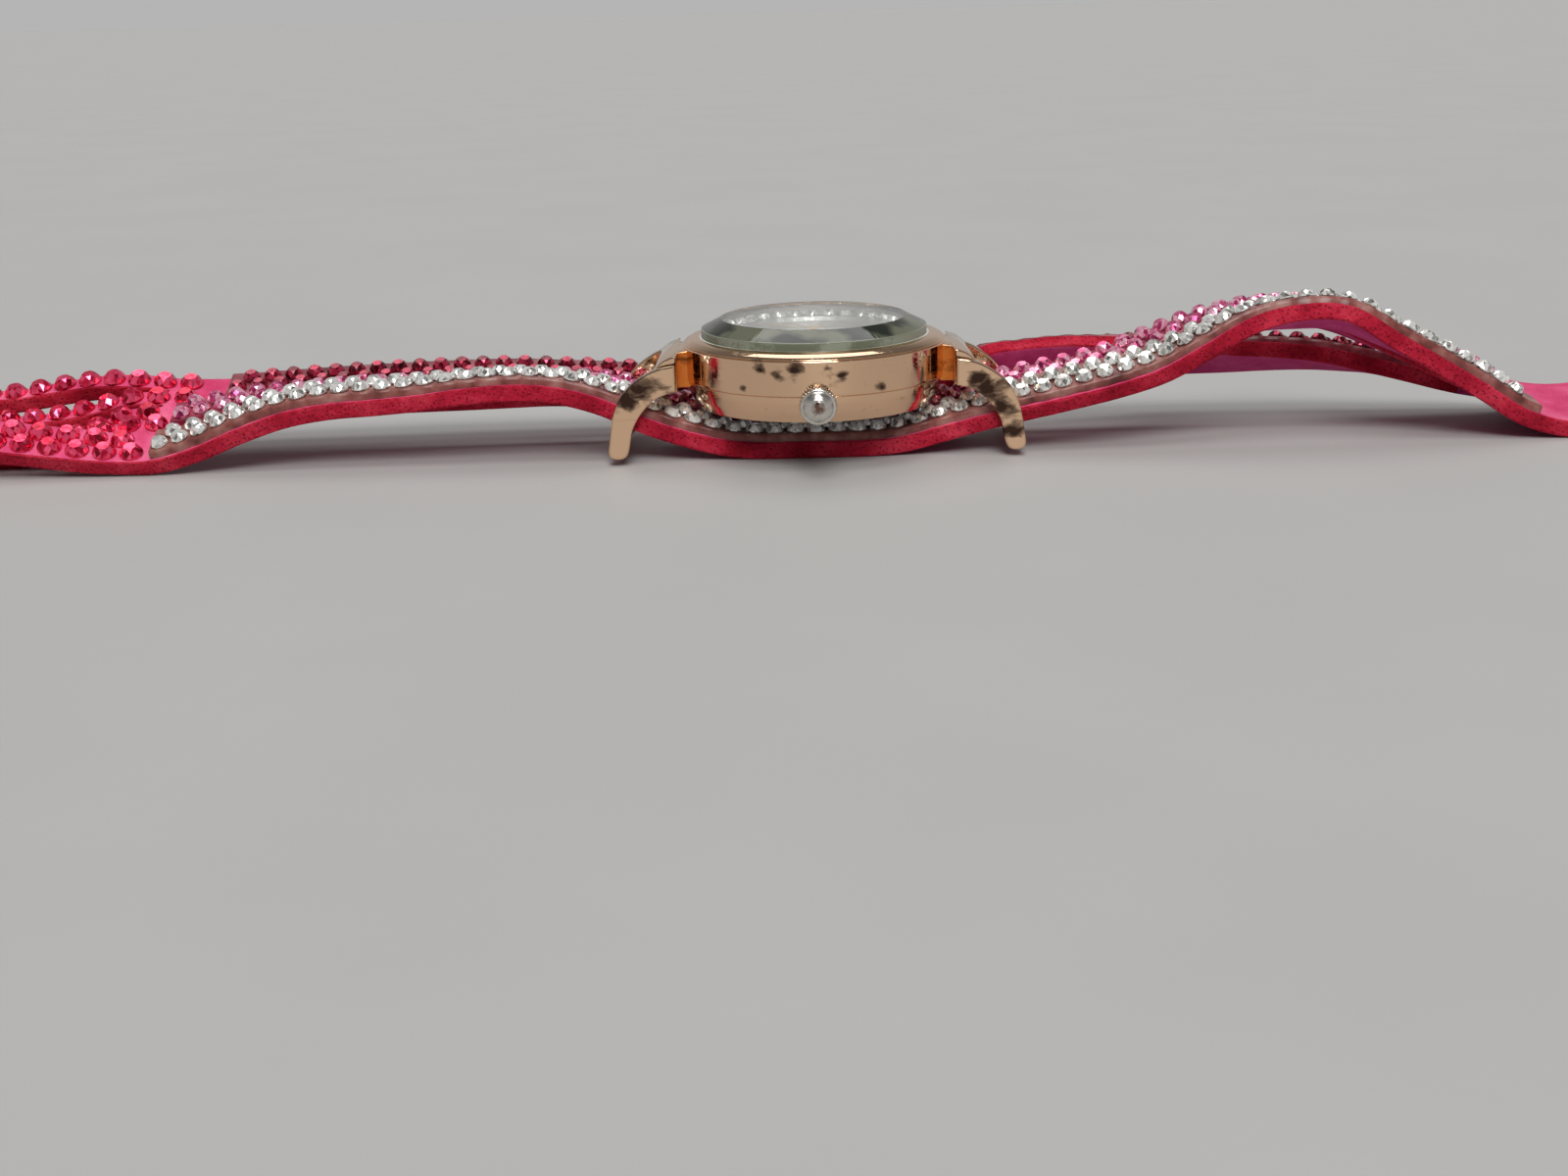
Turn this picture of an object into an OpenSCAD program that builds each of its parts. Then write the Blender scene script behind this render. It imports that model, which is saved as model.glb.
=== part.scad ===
// Wrap watch: a round quartz wristwatch on a long suede wrap strap that is slit into strands
// and set with rhinestones. All sizes are in millimetres.
// The origin lies on the table, under the axis of the hands. X runs along the strap towards
// twelve o'clock, Y points away from the crown, Z points up.

/* [Piece] */
// Name of the piece to draw, or all

/* [Strap] */
// Strap length from end to end
strap_len = 380; // [370:1:390]
// Thickness of the suede
strap_t = 1.9; // [1.6:0.1:2.1]
// Width of the strand nearest the crown
near_w = 5.6; // [5.4:0.1:5.7]
// Width of the middle strand
mid_w = 5.0; // [4.8:0.1:5.1]
// Width of the inner half of the far strand
far_w = 2.8; // [2.6:0.1:3]
// Width of the outer half of the far strand
edge_w = 2.85; // [2.6:0.05:3]
// Width of the cut between two strands
slit_w = 0.25; // [0.2:0.05:0.4]
// Corner radius at the strap ends
corner_r = 4; // [3:0.5:5]

/* [Stones in the middle of the strap] */
// Thickness of the clear strips that carry the stones
carrier_t = 0.9; // [0.7:0.1:1]
// Suede left free beside a strip
strip_margin = 0.4; // [0.3:0.1:0.5]
// Width over the girdle of a strip stone
stone_d = 2.1; // [1.9:0.05:2.15]
// Height of a strip stone
stone_h = 0.85; // [0.7:0.05:0.9]
// Distance from stone to stone along a strip row
stone_pitch = 2.4; // [2.3:0.05:2.6]
// Distance from stone to stone along a garnet row, which lies in the tightest bends
garnet_pitch = 2.5; // [2.45:0.05:2.7]
// Distance between the two rows of a strip
row_gap = 2; // [1.95:0.05:2.05]

/* [Stones near the strap ends] */
// Width over the girdle of an outer stone
outer_d = 2.7; // [2.3:0.05:2.75]
// Height of an outer stone
outer_h = 1.1; // [0.9:0.05:1.2]
// Distance from stone to stone along an outer row
outer_pitch = 3.1; // [3.05:0.05:3.4]
// Distance between two outer rows on one strand
outer_row_gap = 2.35; // [2.3:0.05:2.4]

/* [Case] */
// Diameter of the case over the rim
case_d = 30; // [29:0.1:31]
// Height of the case wall from the back edge to the rim
wall_h = 7.24; // [7.2:0.02:7.3]
// Free height between the strip stones and the case back
case_gap = 1.95; // [1.8:0.05:2.2]
// Width of the bezel round the glass
bezel_w = 2.1; // [2:0.05:2.2]
// Width of the ground bevel of the glass
bevel_w = 2.3; // [1.8:0.1:2.8]
// Thickness of the glass
glass_t = 2.41; // [2.3:0.01:2.5]
// Height of the glass side below the bevel
glass_side = 1.28; // [1.2:0.02:1.4]
// Gasket width between the glass and the bezel
gasket_w = 0.25; // [0.2:0.05:0.3]

/* [Lugs] */
// Clear width between two lug arms
lug_gap = 11.4; // [11.4:0.1:11.6]
// Width of the neck that joins the case wall to a lug end
neck_w = 8.8; // [8:0.2:10]
// Thickness of a lug arm
arm_t = 1.6; // [1.4:0.1:1.7]
// Half the distance between the spring bars
bar_x = 22.25; // [22.1:0.05:22.4]
// Height of the spring bars above the table
bar_z = 2.4; // [2.3:0.05:2.5]
// Diameter of a spring bar tube
bar_d = 1.5; // [1.3:0.1:1.5]
// Diameter of a spring bar tip
tip_d = 0.8; // [0.7:0.05:0.9]
// How far a tip reaches into its lug hole
tip_reach = 0.8; // [0.6:0.1:0.9]

/* [Crown] */
// Crown diameter
crown_d = 4.1; // [4:0.1:4.4]
// Height of the stem above the table
crown_z = 8.2; // [8.1:0.05:8.3]
// How far the crown pulls out
crown_pull = 0.7; // [0.6:0.05:0.8]
// Stem diameter
stem_d = 1.0; // [0.9:0.05:1.1]

/* [Dial and hands] */
// Thickness of the case wall round the dial
wall_w = 2.35; // [2.3:0.05:2.5]
// Number of stones round the dial
ring_stones = 32; // [28:1:34]
// From the edge of the dial to the circle of stones
ring_inset = 2.4; // [2:0.1:2.6]
// Width of a ring stone
ring_stone_d = 1.6; // [1.4:0.1:1.7]
// Length of the hour hand
hour_len = 4.6; // [4:0.1:5]
// Length of the minute hand
minute_len = 6.9; // [6:0.1:7.2]
// Length of the seconds hand
second_len = 7.4; // [6.5:0.1:7.8]

/* [Movement] */
// Diameter of the movement
movement_d = 17.8; // [17.6:0.1:18]
// Diameter of the cell
cell_d = 5.8; // [5.6:0.1:5.8]
// Running clearance round a turning part
run_gap = 0.05; // [0.04:0.01:0.07]

/* [Snap fasteners] */
// Diameter of a snap cap
cap_d = 9.5; // [9:0.5:10]
// Diameter of a snap stud head
stud_d = 3.8; // [3.6:0.1:4]
// Distance between the two snaps of one end
snap_pitch = 12.5; // [12:0.5:14]

/* [Hidden] */
$fn = 48;
seat = 0.03;

// Shape of the strap as it lies: every list has one value for each 5 mm of length.
// z is the height of the near lower edge of a strand, tilt its sideways lean in degrees,
// shift its sideways displacement.
z_near = [
  0.6, 0.6, 0.6, 0.6, 0.6, 0.6, 0.61, 0.69, 0.8, 1.08, 1.55, 2.02, 2.3, 2.42, 2.51, 2.58, 2.6, 2.55, 2.4, 1.95,
  1.3, 0.65, 0.12, 0.18, 1.5, 3.47, 5.07, 5.87, 6.17, 6.56, 7.12, 7.45, 7.1, 5.7, 3.4, 1.6, 0.38, 0, 0, 0,
  0.39, 1.58, 2.82, 3.85, 4.9, 6.06, 7.68, 10.31, 13.1, 14.32, 13.95, 10.85, 7.9, 4.88, 1.74, 0.2, 0, 0.06, 0.2, 0.64,
  1.38, 2, 2.45, 2.84, 3, 2.78, 2.3, 1.82, 1.6, 1.73, 1.95, 2, 2, 2, 2, 2, 2];
tilt_near = [
  0, 0, 0, 0, 0, 0, 0.26, 1.49, 3, 4.51, 6.25, 8.11, 10, 11.84, 13.71, 15.72, 18, 20.88, 24, 27.45,
  28, 28, 26, 22.72, 18, 13.11, 9.42, 7.31, 5.52, 2.34, -1.44, -3.69, -2, 5.47, 10, 7.21, 1.81, 0, 0, 0,
  1.31, 6.49, 14.61, 20.76, 22, 21.01, 15.67, 5.53, -10, -19.44, -18.2, -6, 2, 6.17, 6.88, 4.77, 4, 4.8, 6, 6.88,
  7.66, 8, 7.85, 7.48, 7, 6.3, 5.29, 4.14, 3, 1.6, 0.29, 0, 0, 0, 0, 0, 0];
z_mid = [
  0.6, 0.6, 0.6, 0.6, 0.6, 0.6, 0.62, 0.69, 0.8, 0.99, 1.15, 1.2, 1, 0.6, 0.25, 0.05, 0, 0, 0, 0,
  0.1, 0.75, 2.3, 2.48, 3.3, 4.23, 4.7, 5, 5.2, 5.31, 5.4, 5.53, 5.6, 5.19, 4, 2.17, 0.53, 0, 0, 0,
  0.5, 1.99, 3.42, 4.35, 5.21, 6.56, 8.49, 10.6, 12.2, 12.9, 12.2, 9.84, 7.3, 4.9, 2.56, 0.68, 0.41, 0.51, 0.7, 0.99,
  1.36, 1.6, 1.7, 1.77, 1.8, 1.8, 1.8, 1.8, 1.8, 1.87, 1.97, 2, 2, 2, 2, 2, 2];
tilt_mid = [
  0, 0, 0, 0, 0, 0, 0.18, 1.01, 2, 2.98, 4.1, 5.16, 5.4, 5, 4.6, 4.2, 4, 4, 4.2, 5.5,
  9, 15.5, 25, 22.77, 18, 13.19, 10, 8.85, 8, 6.92, 6, 5.33, 5, 5.26, 6, 4.05, 1.12, 0, 0, 0,
  1.82, 6.87, 12.28, 17.36, 18, 18, 16.35, 8, -2, -9, -9.36, -4.27, 1, 6, 6.88, 4.77, 4, 4.5, 5, 5,
  5, 5, 4.83, 4.44, 4, 3.58, 3.11, 2.58, 2, 1.11, 0.2, 0, 0, 0, 0, 0, 0];
shift_mid = [
  0, 0, 0, 0, 0, 0, 0, 0, -0.01, -0.02, -0.03, -0.05, -0.06, -0.08, -0.1, -0.12, -0.15, -0.2, -0.25, -0.34,
  -0.37, -0.41, -0.52, -0.45, -0.21, -0.03, -0.02, -0.01, -0.01, 0, 0, 0, 0, -0.01, -0.02, -0.01, 0, 0, 0, 0,
  0, -0.01, -0.04, -0.08, -0.09, -0.08, -0.04, -0.01, -0.02, -0.07, -0.06, -0.01, 0, -0.02, -0.04, -0.02, -0.01, -0.02, -0.03, -0.04,
  -0.05, -0.06, -0.05, -0.05, -0.04, -0.04, -0.02, -0.02, -0.01, 0, 0, 0, 0, 0, 0, 0, 0];
z_far = [
  0.6, 0.6, 0.6, 0.6, 0.6, 0.6, 0.63, 0.79, 1, 1.27, 1.62, 1.97, 2.2, 2.35, 2.48, 2.57, 2.6, 2.5, 2.4, 2.4,
  2.75, 3.6, 4.7, 4.48, 4.4, 4.49, 4.7, 4.89, 5.01, 5.08, 5.1, 5, 4.66, 4.32, 3.82, 2.15, 0.82, 0.43, 0.35, 0.43,
  0.9, 4.2, 8.75, 9.75, 10.02, 9.75, 9.35, 8.9, 8.4, 8.08, 7.44, 6.25, 4.93, 3.56, 2.55, 1.14, 0.77, 1.06, 1.6, 2.34,
  3.19, 3.6, 3.6, 3.6, 3.6, 3.4, 2.96, 2.49, 2.2, 2.09, 2.01, 2, 2, 2, 2, 2, 2];
tilt_far = [
  0, 0, 0, 0, 0, 0, 0.41, 2.21, 4, 5.13, 6.12, 7.04, 8, 9.19, 10.5, 11.56, 12, 12, 12, 12,
  13.17, 16, 22.91, 22.66, 21.05, 21.97, 22, 22, 22, 22, 22, 22, 22, 21.59, 19.06, 10.71, 4.25, 1.15, 0, 0,
  -3, -30, -58, -64, -61.5, -56, -46, -38, -31.5, -26.37, -19.57, -10.88, -2.33, 3.68, 6.88, 4.77, 4, 5.2, 7, 8.32,
  9.49, 10, 9.66, 8.87, 8, 7.16, 6.22, 5.17, 4, 2.21, 0.41, 0, 0, 0, 0, 0, 0];
shift_far = [
  0, 0, 0, 0, 0, 0, 0, 0, -0.01, -0.02, -0.04, -0.06, -0.08, -0.11, -0.13, -0.15, -0.18, -0.22, -0.28, -0.37,
  -0.43, -0.54, -0.96, -0.86, -0.41, 0.05, 0.27, 0.48, 0.74, 1.01, 1.27, 1.57, 1.9, 2.23, 2.41, 2.34, 2.15, 2, 1.95, 1.95,
  1.95, 1.93, 1.89, 1.78, 1.66, 1.55, 1.44, 1.32, 1.11, 0.82, 0.49, 0.17, 0, -0.04, -0.08, -0.04, -0.03, -0.04, -0.05, -0.06,
  -0.07, -0.08, -0.07, -0.07, -0.06, -0.05, -0.03, -0.02, -0.01, 0, 0, 0, 0, 0, 0, 0, 0];
z_edge = [
  0.6, 0.6, 0.6, 0.6, 0.6, 0.6, 0.67, 0.99, 1.4, 1.91, 2.55, 3.16, 3.6, 3.85, 4.05, 4.22, 4.4, 4.6, 4.8, 5,
  5.74, 6.3, 6.23, 5.65, 5.5, 5.63, 5.84, 6.03, 6.15, 6.22, 6.24, 6.14, 5.8, 5.44, 4.81, 2.71, 1.05, 0.49, 0.35, 0.43,
  0.74, 2.68, 6.16, 7.01, 7.34, 7.22, 7.16, 7.02, 6.81, 6.72, 6.41, 5.68, 4.8, 3.75, 2.91, 1.43, 0.98, 1.45, 2.3, 3.34,
  4.47, 5, 4.99, 4.95, 4.9, 4.57, 3.88, 3.13, 2.6, 2.28, 2.05, 2, 2, 2, 2, 2, 2];
tilt_edge = [
  0, 0, 0, 0, 0, 0, 0.51, 2.77, 5, 6.44, 7.71, 8.88, 10, 11.25, 12.56, 13.58, 14, 14, 14, 16,
  17.42, 20, 23.78, 22.66, 21.05, 21.97, 22, 22, 22, 22, 22, 22, 22, 21.59, 19.06, 10.71, 4.25, 1.15, 0, 0,
  -3, -30, -58, -64, -61.5, -56, -46, -38, -31.5, -26.37, -19.57, -10.88, -2.33, 3.68, 6.88, 4.84, 4, 5.66, 8, 9.38,
  10.53, 11, 10.67, 9.9, 9, 8, 6.77, 5.4, 4, 2.15, 0.39, 0, 0, 0, 0, 0, 0];
shift_edge = [
  0, 0, 0, 0, 0, 0, 0, 0, -0.02, -0.03, -0.06, -0.09, -0.11, -0.15, -0.18, -0.21, -0.25, -0.29, -0.35, -0.44,
  -0.51, -0.66, -1.2, -1.1, -0.61, -0.17, 0.05, 0.26, 0.51, 0.79, 1.05, 1.34, 1.67, 2.02, 2.24, 2.28, 2.14, 2, 1.95, 1.95,
  1.94, 1.52, 0.46, 0.07, 0.07, 0.21, 0.51, 0.67, 0.66, 0.5, 0.32, 0.12, 0, -0.04, -0.1, -0.05, -0.03, -0.05, -0.07, -0.09,
  -0.11, -0.12, -0.12, -0.1, -0.09, -0.07, -0.05, -0.03, -0.02, -0.01, 0, 0, 0, 0, 0, 0, 0];
flat = [for (v = z_near) 0];

half = strap_len / 2;
// The strap gets longer or shorter beyond the case only: place of the drawn place x, and back
hold = 40;
grow = (half - hold) / (190 - hold);
function along(x) = abs(x) < hold ? x : sign(x) * (hold + (abs(x) - hold) * grow);
function drawn(x) = abs(x) < hold ? x : sign(x) * (hold + (abs(x) - hold) / grow);
mid_a = along(-76.8);
mid_b = along(82.8);
wid = [near_w, mid_w, far_w, edge_w];
off = [0, near_w + slit_w, near_w + mid_w + 2 * slit_w, near_w + mid_w + far_w + 3 * slit_w];
whole_w = off[3] + edge_w;
y0 = -lug_gap / 2 + 0.25;
zt = [z_near, z_mid, z_far, z_edge];
tt = [tilt_near, tilt_mid, tilt_far, tilt_edge];
st = [flat, shift_mid, shift_far, shift_edge];

// Smooth curve through the values of one list
function curve(v, x) = let(t = (drawn(x) + 190) / 5, n = len(v) - 1, i = min(max(floor(t), 0), n - 1),
  u = t - i, a = v[max(i - 1, 0)], b = v[i], c = v[i + 1], d = v[min(i + 2, n)])
  b + 0.5 * u * ((c - a) + u * ((2 * a - 5 * b + 4 * c - d) + u * (3 * (b - c) + d - a)));
function unit(v) = v / norm(v);
// The outer half of the far strand is one piece with the inner half in the middle of the strap
function own(s, x) = s == 3 && x > mid_a && x < mid_b ? 2 : s;
function extra(s, x) = own(s, x) == s ? 0 : far_w + slit_w;
function base(s, x) = [x, y0 + off[s] + curve(st[s], x), max(0, curve(zt[s], x))];
function lean(s, x) = let(a = curve(tt[s], x)) [0, cos(a), sin(a)];
function up(s, x) = unit(cross(base(s, x + 0.4) - base(s, x - 0.4), lean(s, x)));
// Point of strand s: x along the strap, u across from the near edge, v above the underside
function at(s, x, u, v) = let(o = own(s, x))
  base(o, x) + lean(o, x) * (u + extra(s, x)) + up(o, x) * v;

// Puts its children on strand s, standing up from its surface
module place(s, x, u, v) {
  a = lean(s, x);
  n = up(s, x);
  t = cross(a, n);
  p = at(s, x, u, v);
  multmatrix([[t[0], a[0], n[0], p[0]], [t[1], a[1], n[1], p[1]], [t[2], a[2], n[2], p[2]], [0, 0, 0, 1]])
    children();
}

// Stations along the strap, closer together under the strips
tips = [190, 189.4, 188.3, 186.6, 183, 178, 173, 168];
xs = concat([for (v = tips) along(-v)], [for (i = [0:35]) along(-163.2 + 2.4 * i)],
  [for (i = [0:133]) along(-76.8 + 1.2 * i)], [for (i = [1:34]) along(82.8 + 2.4 * i)],
  [for (i = [7:-1:0]) along(tips[i])]);
ns = len(xs);

// Where the three cuts are open: outer parts, and two of them in the middle too
function cut_open(k, x) = let(d = drawn(x)) (d > -156 && d < (k == 0 ? -79.2 : -76.8)) || (d > 92.4 && d < 156)
  || (k < 2 && d > -69.6 && d < 76.8);
function filled(i, c) = i >= 0 && i < ns - 1 && c >= 0 && c <= 6
  && (c % 2 == 0 || !cut_open((c - 1) / 2, (xs[i] + xs[i + 1]) / 2));
function inset(x) = let(d = max(0, abs(x) - (half - corner_r)))
  corner_r - sqrt(max(0, corner_r * corner_r - d * d));
// Across place of border j, counted in its own strand; borders keep their order round a corner
function line_u(j, x) = let(s = floor(j / 2), d = inset(x))
  max(d - off[s] + 0.3 * j, min(whole_w - d - off[s] - 0.3 * (7 - j), j % 2 == 0 ? 0 : wid[s]));
function pn(i, j, k) = i * 16 + j * 2 + k;

// Triangles of one grid cell: top, underside, and a wall where it has no neighbour. Its corners
// are a and b at one station, d and e at the next, and each one's upper point comes after it.
function cell(a, b, e, d, near, far, left, right) = concat(
  [[a + 1, b + 1, e + 1], [a + 1, e + 1, d + 1], [a, d, e], [a, e, b]],
  near ? [] : [[a, a + 1, d + 1], [a, d + 1, d]],
  far ? [] : [[b, e, e + 1], [b, e + 1, b + 1]],
  left ? [] : [[a, b, b + 1], [a, b + 1, a + 1]],
  right ? [] : [[d, d + 1, e + 1], [d, e + 1, e]]);

// The suede band: a closed grid of cells with the cuts left out
module strap_band() {
  pts = [for (x = xs, j = [0:7], k = [0:1]) at(floor(j / 2), x, line_u(j, x), k * strap_t)];
  faces = [for (i = [0:ns - 2], c = [0:6]) if (filled(i, c))
    each cell(pn(i, c, 0), pn(i, c + 1, 0), pn(i + 1, c + 1, 0), pn(i + 1, c, 0),
      filled(i, c - 1), filled(i, c + 1), filled(i - 1, c), filled(i + 1, c))];
  polyhedron(points = pts, faces = faces);
}

// Where the snaps sit
snap_x = [half - 8.5, half - 8.5 - snap_pitch];
snap_u = whole_w / 2 - off[1];
post_r = 0.95;
module at_snaps(side, v) {
  for (x = snap_x) translate(at(1, side * x, snap_u, v)) children();
}

module strap() {
  color([0.78, 0.1, 0.3])
  difference() {
    strap_band();
    at_snaps(-1, -1) cylinder(h = strap_t + 2, r = post_r + 0.05);
    at_snaps(1, -1) cylinder(h = strap_t + 2, r = post_r + 0.05);
  }
}

// A clear strip lying on strand s between xa and xb, with a line of points at each place in us
module carrier(s, us, xa, xb) {
  cs = [for (x = xs) if (x > xa - 0.01 && x < xb + 0.01) x];
  n = len(cs);
  m = len(us);
  pts = [for (x = cs, u = us, k = [0:1]) at(s, x, u, strap_t + seat + k * carrier_t)];
  faces = [for (i = [0:n - 2], j = [0:m - 2]) let(a = 2 * (i * m + j))
    each cell(a, a + 2, a + 2 * m + 2, a + 2 * m, j > 0, j < m - 2, i > 0, i < n - 2)];
  polyhedron(points = pts, faces = faces);
}
far_all = far_w + slit_w + edge_w;
strip_a = [along(-75.6), along(-74.4), along(-69.6)];
strip_b = [along(81.6), along(80.4), along(79.2)];
strip_s = [near_w, mid_w, far_all];
// The far strip bends where the two strands under it meet
bends = [[], [], [far_w, far_w + slit_w]];
module strip(k) {
  carrier(k, concat(strip_margin, bends[k], strip_s[k] - strip_margin), strip_a[k], strip_b[k]);
}
module crystal_carrier() { color([0.8, 0.72, 0.68, 0.6]) strip(0); }
module pink_carrier() { color([0.85, 0.6, 0.65, 0.6]) strip(1); }
module garnet_carrier() { color([0.75, 0.5, 0.5, 0.6]) strip(2); }

// Places for stones at equal steps along the curved strand
// Positions along strand s for two rows at ua and ub: each step is p in the shorter of the two
function pace(s, x, u, v) = norm(at(s, x + 0.5, u, v) - at(s, x - 0.5, u, v));
function walk(s, ua, ub, v, xa, xb, p) = let(e = xa < xb ? 1 : -1)
  [for (x = xa; e * (xb - x) >= 0;
    x = x + e * p / min(pace(s, x + e * p / 2, ua, v), pace(s, x + e * p / 2, ub, v))) x];
module stone(d, h) { cylinder(h = h, r1 = d / 2, r2 = 0.27 * d, $fn = 24); }
// How far a stone of radius r stands above its place so that its rim clears a hollow curve
function rise(s, x, u, v, r) = let(c = at(s, x, u, v), k = r / pace(s, x, u, v))
  max(0, max([for (a = [0:45:315]) (at(s, x + k * cos(a), u + r * sin(a), v) - c) * up(s, x)]));
module set_stone(s, x, u, v, d, h) { place(s, x, u, v + rise(s, x, u, v, d / 2)) stone(d, h); }
glue = 0.07;
strip_top = strap_t + seat + carrier_t + glue;
function halfway(v) = [for (i = [0:len(v) - 2]) (v[i] + v[i + 1]) / 2];
// One of the two rows on strip k; far rows stand half a step on
module strip_row(k, far) {
  m = strip_s[k] / 2;
  g = row_gap / 2;
  w = walk(k, m - g, m + g, strip_top, strip_a[k] + 0.2 + stone_d / 2, strip_b[k] - 0.2 - stone_d / 2,
    k == 2 ? garnet_pitch : stone_pitch);
  for (x = far ? halfway(w) : w) set_stone(k, x, m + (far ? g : -g), strip_top, stone_d, stone_h);
}
module crystal_stones_near() { color([0.95, 0.95, 0.97]) strip_row(0, false); }
module crystal_stones_far() { color([0.95, 0.95, 0.97]) strip_row(0, true); }
module pink_stones_near() { color([0.9, 0.25, 0.55]) strip_row(1, false); }
module pink_stones_far() { color([0.9, 0.25, 0.55]) strip_row(1, true); }
module garnet_stones_near() { color([0.45, 0.03, 0.1]) strip_row(2, false); }
module garnet_stones_far() { color([0.45, 0.03, 0.1]) strip_row(2, true); }

// Rows glued straight on the suede of the outer strands
outer_top = strap_t + glue;
module outer_row(s, xa, xb) {
  m = wid[s] / 2;
  for (x = walk(s, m, m, outer_top, xa, xb, outer_pitch)) set_stone(s, x, m, outer_top, outer_d, outer_h);
}
module outer_pair(s, xa, xb) {
  m = wid[s] / 2;
  g = outer_row_gap / 2;
  w = walk(s, m - g, m + g, outer_top, xa, xb, outer_pitch);
  for (x = w) set_stone(s, x, m - g, outer_top, outer_d, outer_h);
  for (x = halfway(w)) set_stone(s, x, m + g, outer_top, outer_d, outer_h);
}
// The rows begin at their places x near the strips and run to the place xb near the strap end
module outer_rows(x, xb) {
  outer_pair(0, along(x[0]), along(xb));
  outer_pair(1, along(x[1]), along(xb));
  outer_row(2, along(x[2]), along(xb));
  outer_row(3, along(x[3]), along(xb));
}
module fuchsia_stones_left() { color([0.9, 0.08, 0.35]) outer_rows([-78.2, -76.6, -74.4, -74.4], -154); }
module fuchsia_stones_right() { color([0.9, 0.08, 0.35]) outer_rows([94.2, 94.8, 95.4, 95.4], 155); }

// Snaps: studs with posts at the left end, caps with sockets at the right end
post_t = 0.55;
socket_h = 1.9;
stud_base = 0.6;
module snap_studs() {
  color([0.75, 0.75, 0.77])
  at_snaps(-1, strap_t) {
    cylinder(h = stud_base, r = 3.9);
    translate([0, 0, stud_base]) cylinder(h = 0.6, r = stud_d / 2 - 0.3);
    translate([0, 0, stud_base + 0.6]) cylinder(h = 0.8, r = stud_d / 2);
    translate([0, 0, stud_base + 1.4]) cylinder(h = 0.3, r1 = stud_d / 2, r2 = stud_d / 2 - 0.5);
  }
}
module snap_posts() {
  color([0.75, 0.75, 0.77])
  at_snaps(-1, -post_t) {
    cylinder(h = post_t, r = 3.8);
    cylinder(h = post_t + strap_t, r = post_r);
  }
}
module snap_caps() {
  color([0.78, 0.78, 0.8])
  at_snaps(1, 0) {
    cylinder(h = strap_t, r = post_r);
    translate([0, 0, strap_t]) cylinder(h = 0.5, r = cap_d / 2);
    translate([0, 0, strap_t + 0.5]) cylinder(h = 0.35, r1 = cap_d / 2, r2 = cap_d / 2 - 1.2);
  }
}
module snap_sockets() {
  color([0.75, 0.75, 0.77])
  at_snaps(1, -socket_h)
  difference() {
    union() {
      cylinder(h = socket_h, r = 3.6);
      translate([0, 0, socket_h - 0.5]) cylinder(h = 0.5, r = 4.2);
    }
    translate([0, 0, -1]) cylinder(h = 1 + 1.5, r = stud_d / 2 + 0.1);
  }
}

// Heights inside the case are counted from the outside of the case back
case_z = strap_t + carrier_t + stone_h + case_gap;
rc = case_d / 2;
wall_in = case_d / 2 - wall_w;
dial_d = 2 * wall_in - 0.1;
ring_r = dial_d / 2 - ring_inset;
glass_d = case_d - 2 * bezel_w;
table_d = glass_d - 2 * bevel_w;
ring_in = wall_in - 0.45;
back_r = wall_in + 0.05;
seam_h = 3.3;
ledge_h = 4.6;
dial_t = 0.4;
dial_top = ledge_h + dial_t;
stem_h = crown_z - case_z;
tube_r = stem_d / 2 + 0.6;
arm_y = lug_gap / 2;
module up_case() { translate([0, 0, case_z]) children(); }
// Turns its children so that their height runs out of the case along the stem
module along_stem() { translate([0, 0, crown_z]) rotate([90, 0, 0]) children(); }

// Outline of one lug arm seen from the side, from the root round the tip and back
arm_pts = [[15.75, 5.82], [17.5, 5.5], [19.0, 4.88], [20.6, 3.8], [21.5, 2.95], [22.3, 1.8], [22.9, 0.4],
  [23.15, -0.8], [23.4, -2.4], [23.6, -3.95], [23.3, -4.6], [22.5, -4.8], [21.75, -4.6], [21.3, -3.9],
  [21.0, -2.6], [20.7, -1.3], [20.0, 0], [19.2, 1.0], [18.3, 1.8], [17.2, 2.4], [15.75, 2.75]];
function smooth(p, n) = [for (i = [0:len(p) - 2], k = [0:n - 1]) let(u = k / n, a = p[max(i - 1, 0)],
  b = p[i], c = p[i + 1], d = p[min(i + 2, len(p) - 1)])
  b + 0.5 * u * ((c - a) + u * ((2 * a - 5 * b + 4 * c - d) + u * (3 * (b - c) + d - a)))];
hood_pts = [[15.6, 6.68], [16.2, 6.55], [17.1, 6.15], [17.9, 5.45], [18.3, 4.6],
  [18.2, 3.7], [17.6, 3.1], [16.6, 2.78], [15.6, 2.7]];
neck_pts = [[12.4, 6.85], [14.6, 6.8], [16.0, 6.6], [16.0, 2.75], [14.5, 2.7], [12.4, 2.7]];
module side_plate(p, t) { rotate([90, 0, 0]) linear_extrude(t, center = true) polygon(p); }
module lug_end() {
  side_plate(neck_pts, neck_w);
  side_plate(concat(smooth(hood_pts, 3), [hood_pts[8]]), 2 * arm_y + 1.2);
  for (s = [-1, 1]) translate([0, s * (arm_y + arm_t / 2), 0])
    side_plate(concat(smooth(arm_pts, 3), [arm_pts[len(arm_pts) - 1]]), arm_t);
}
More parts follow.
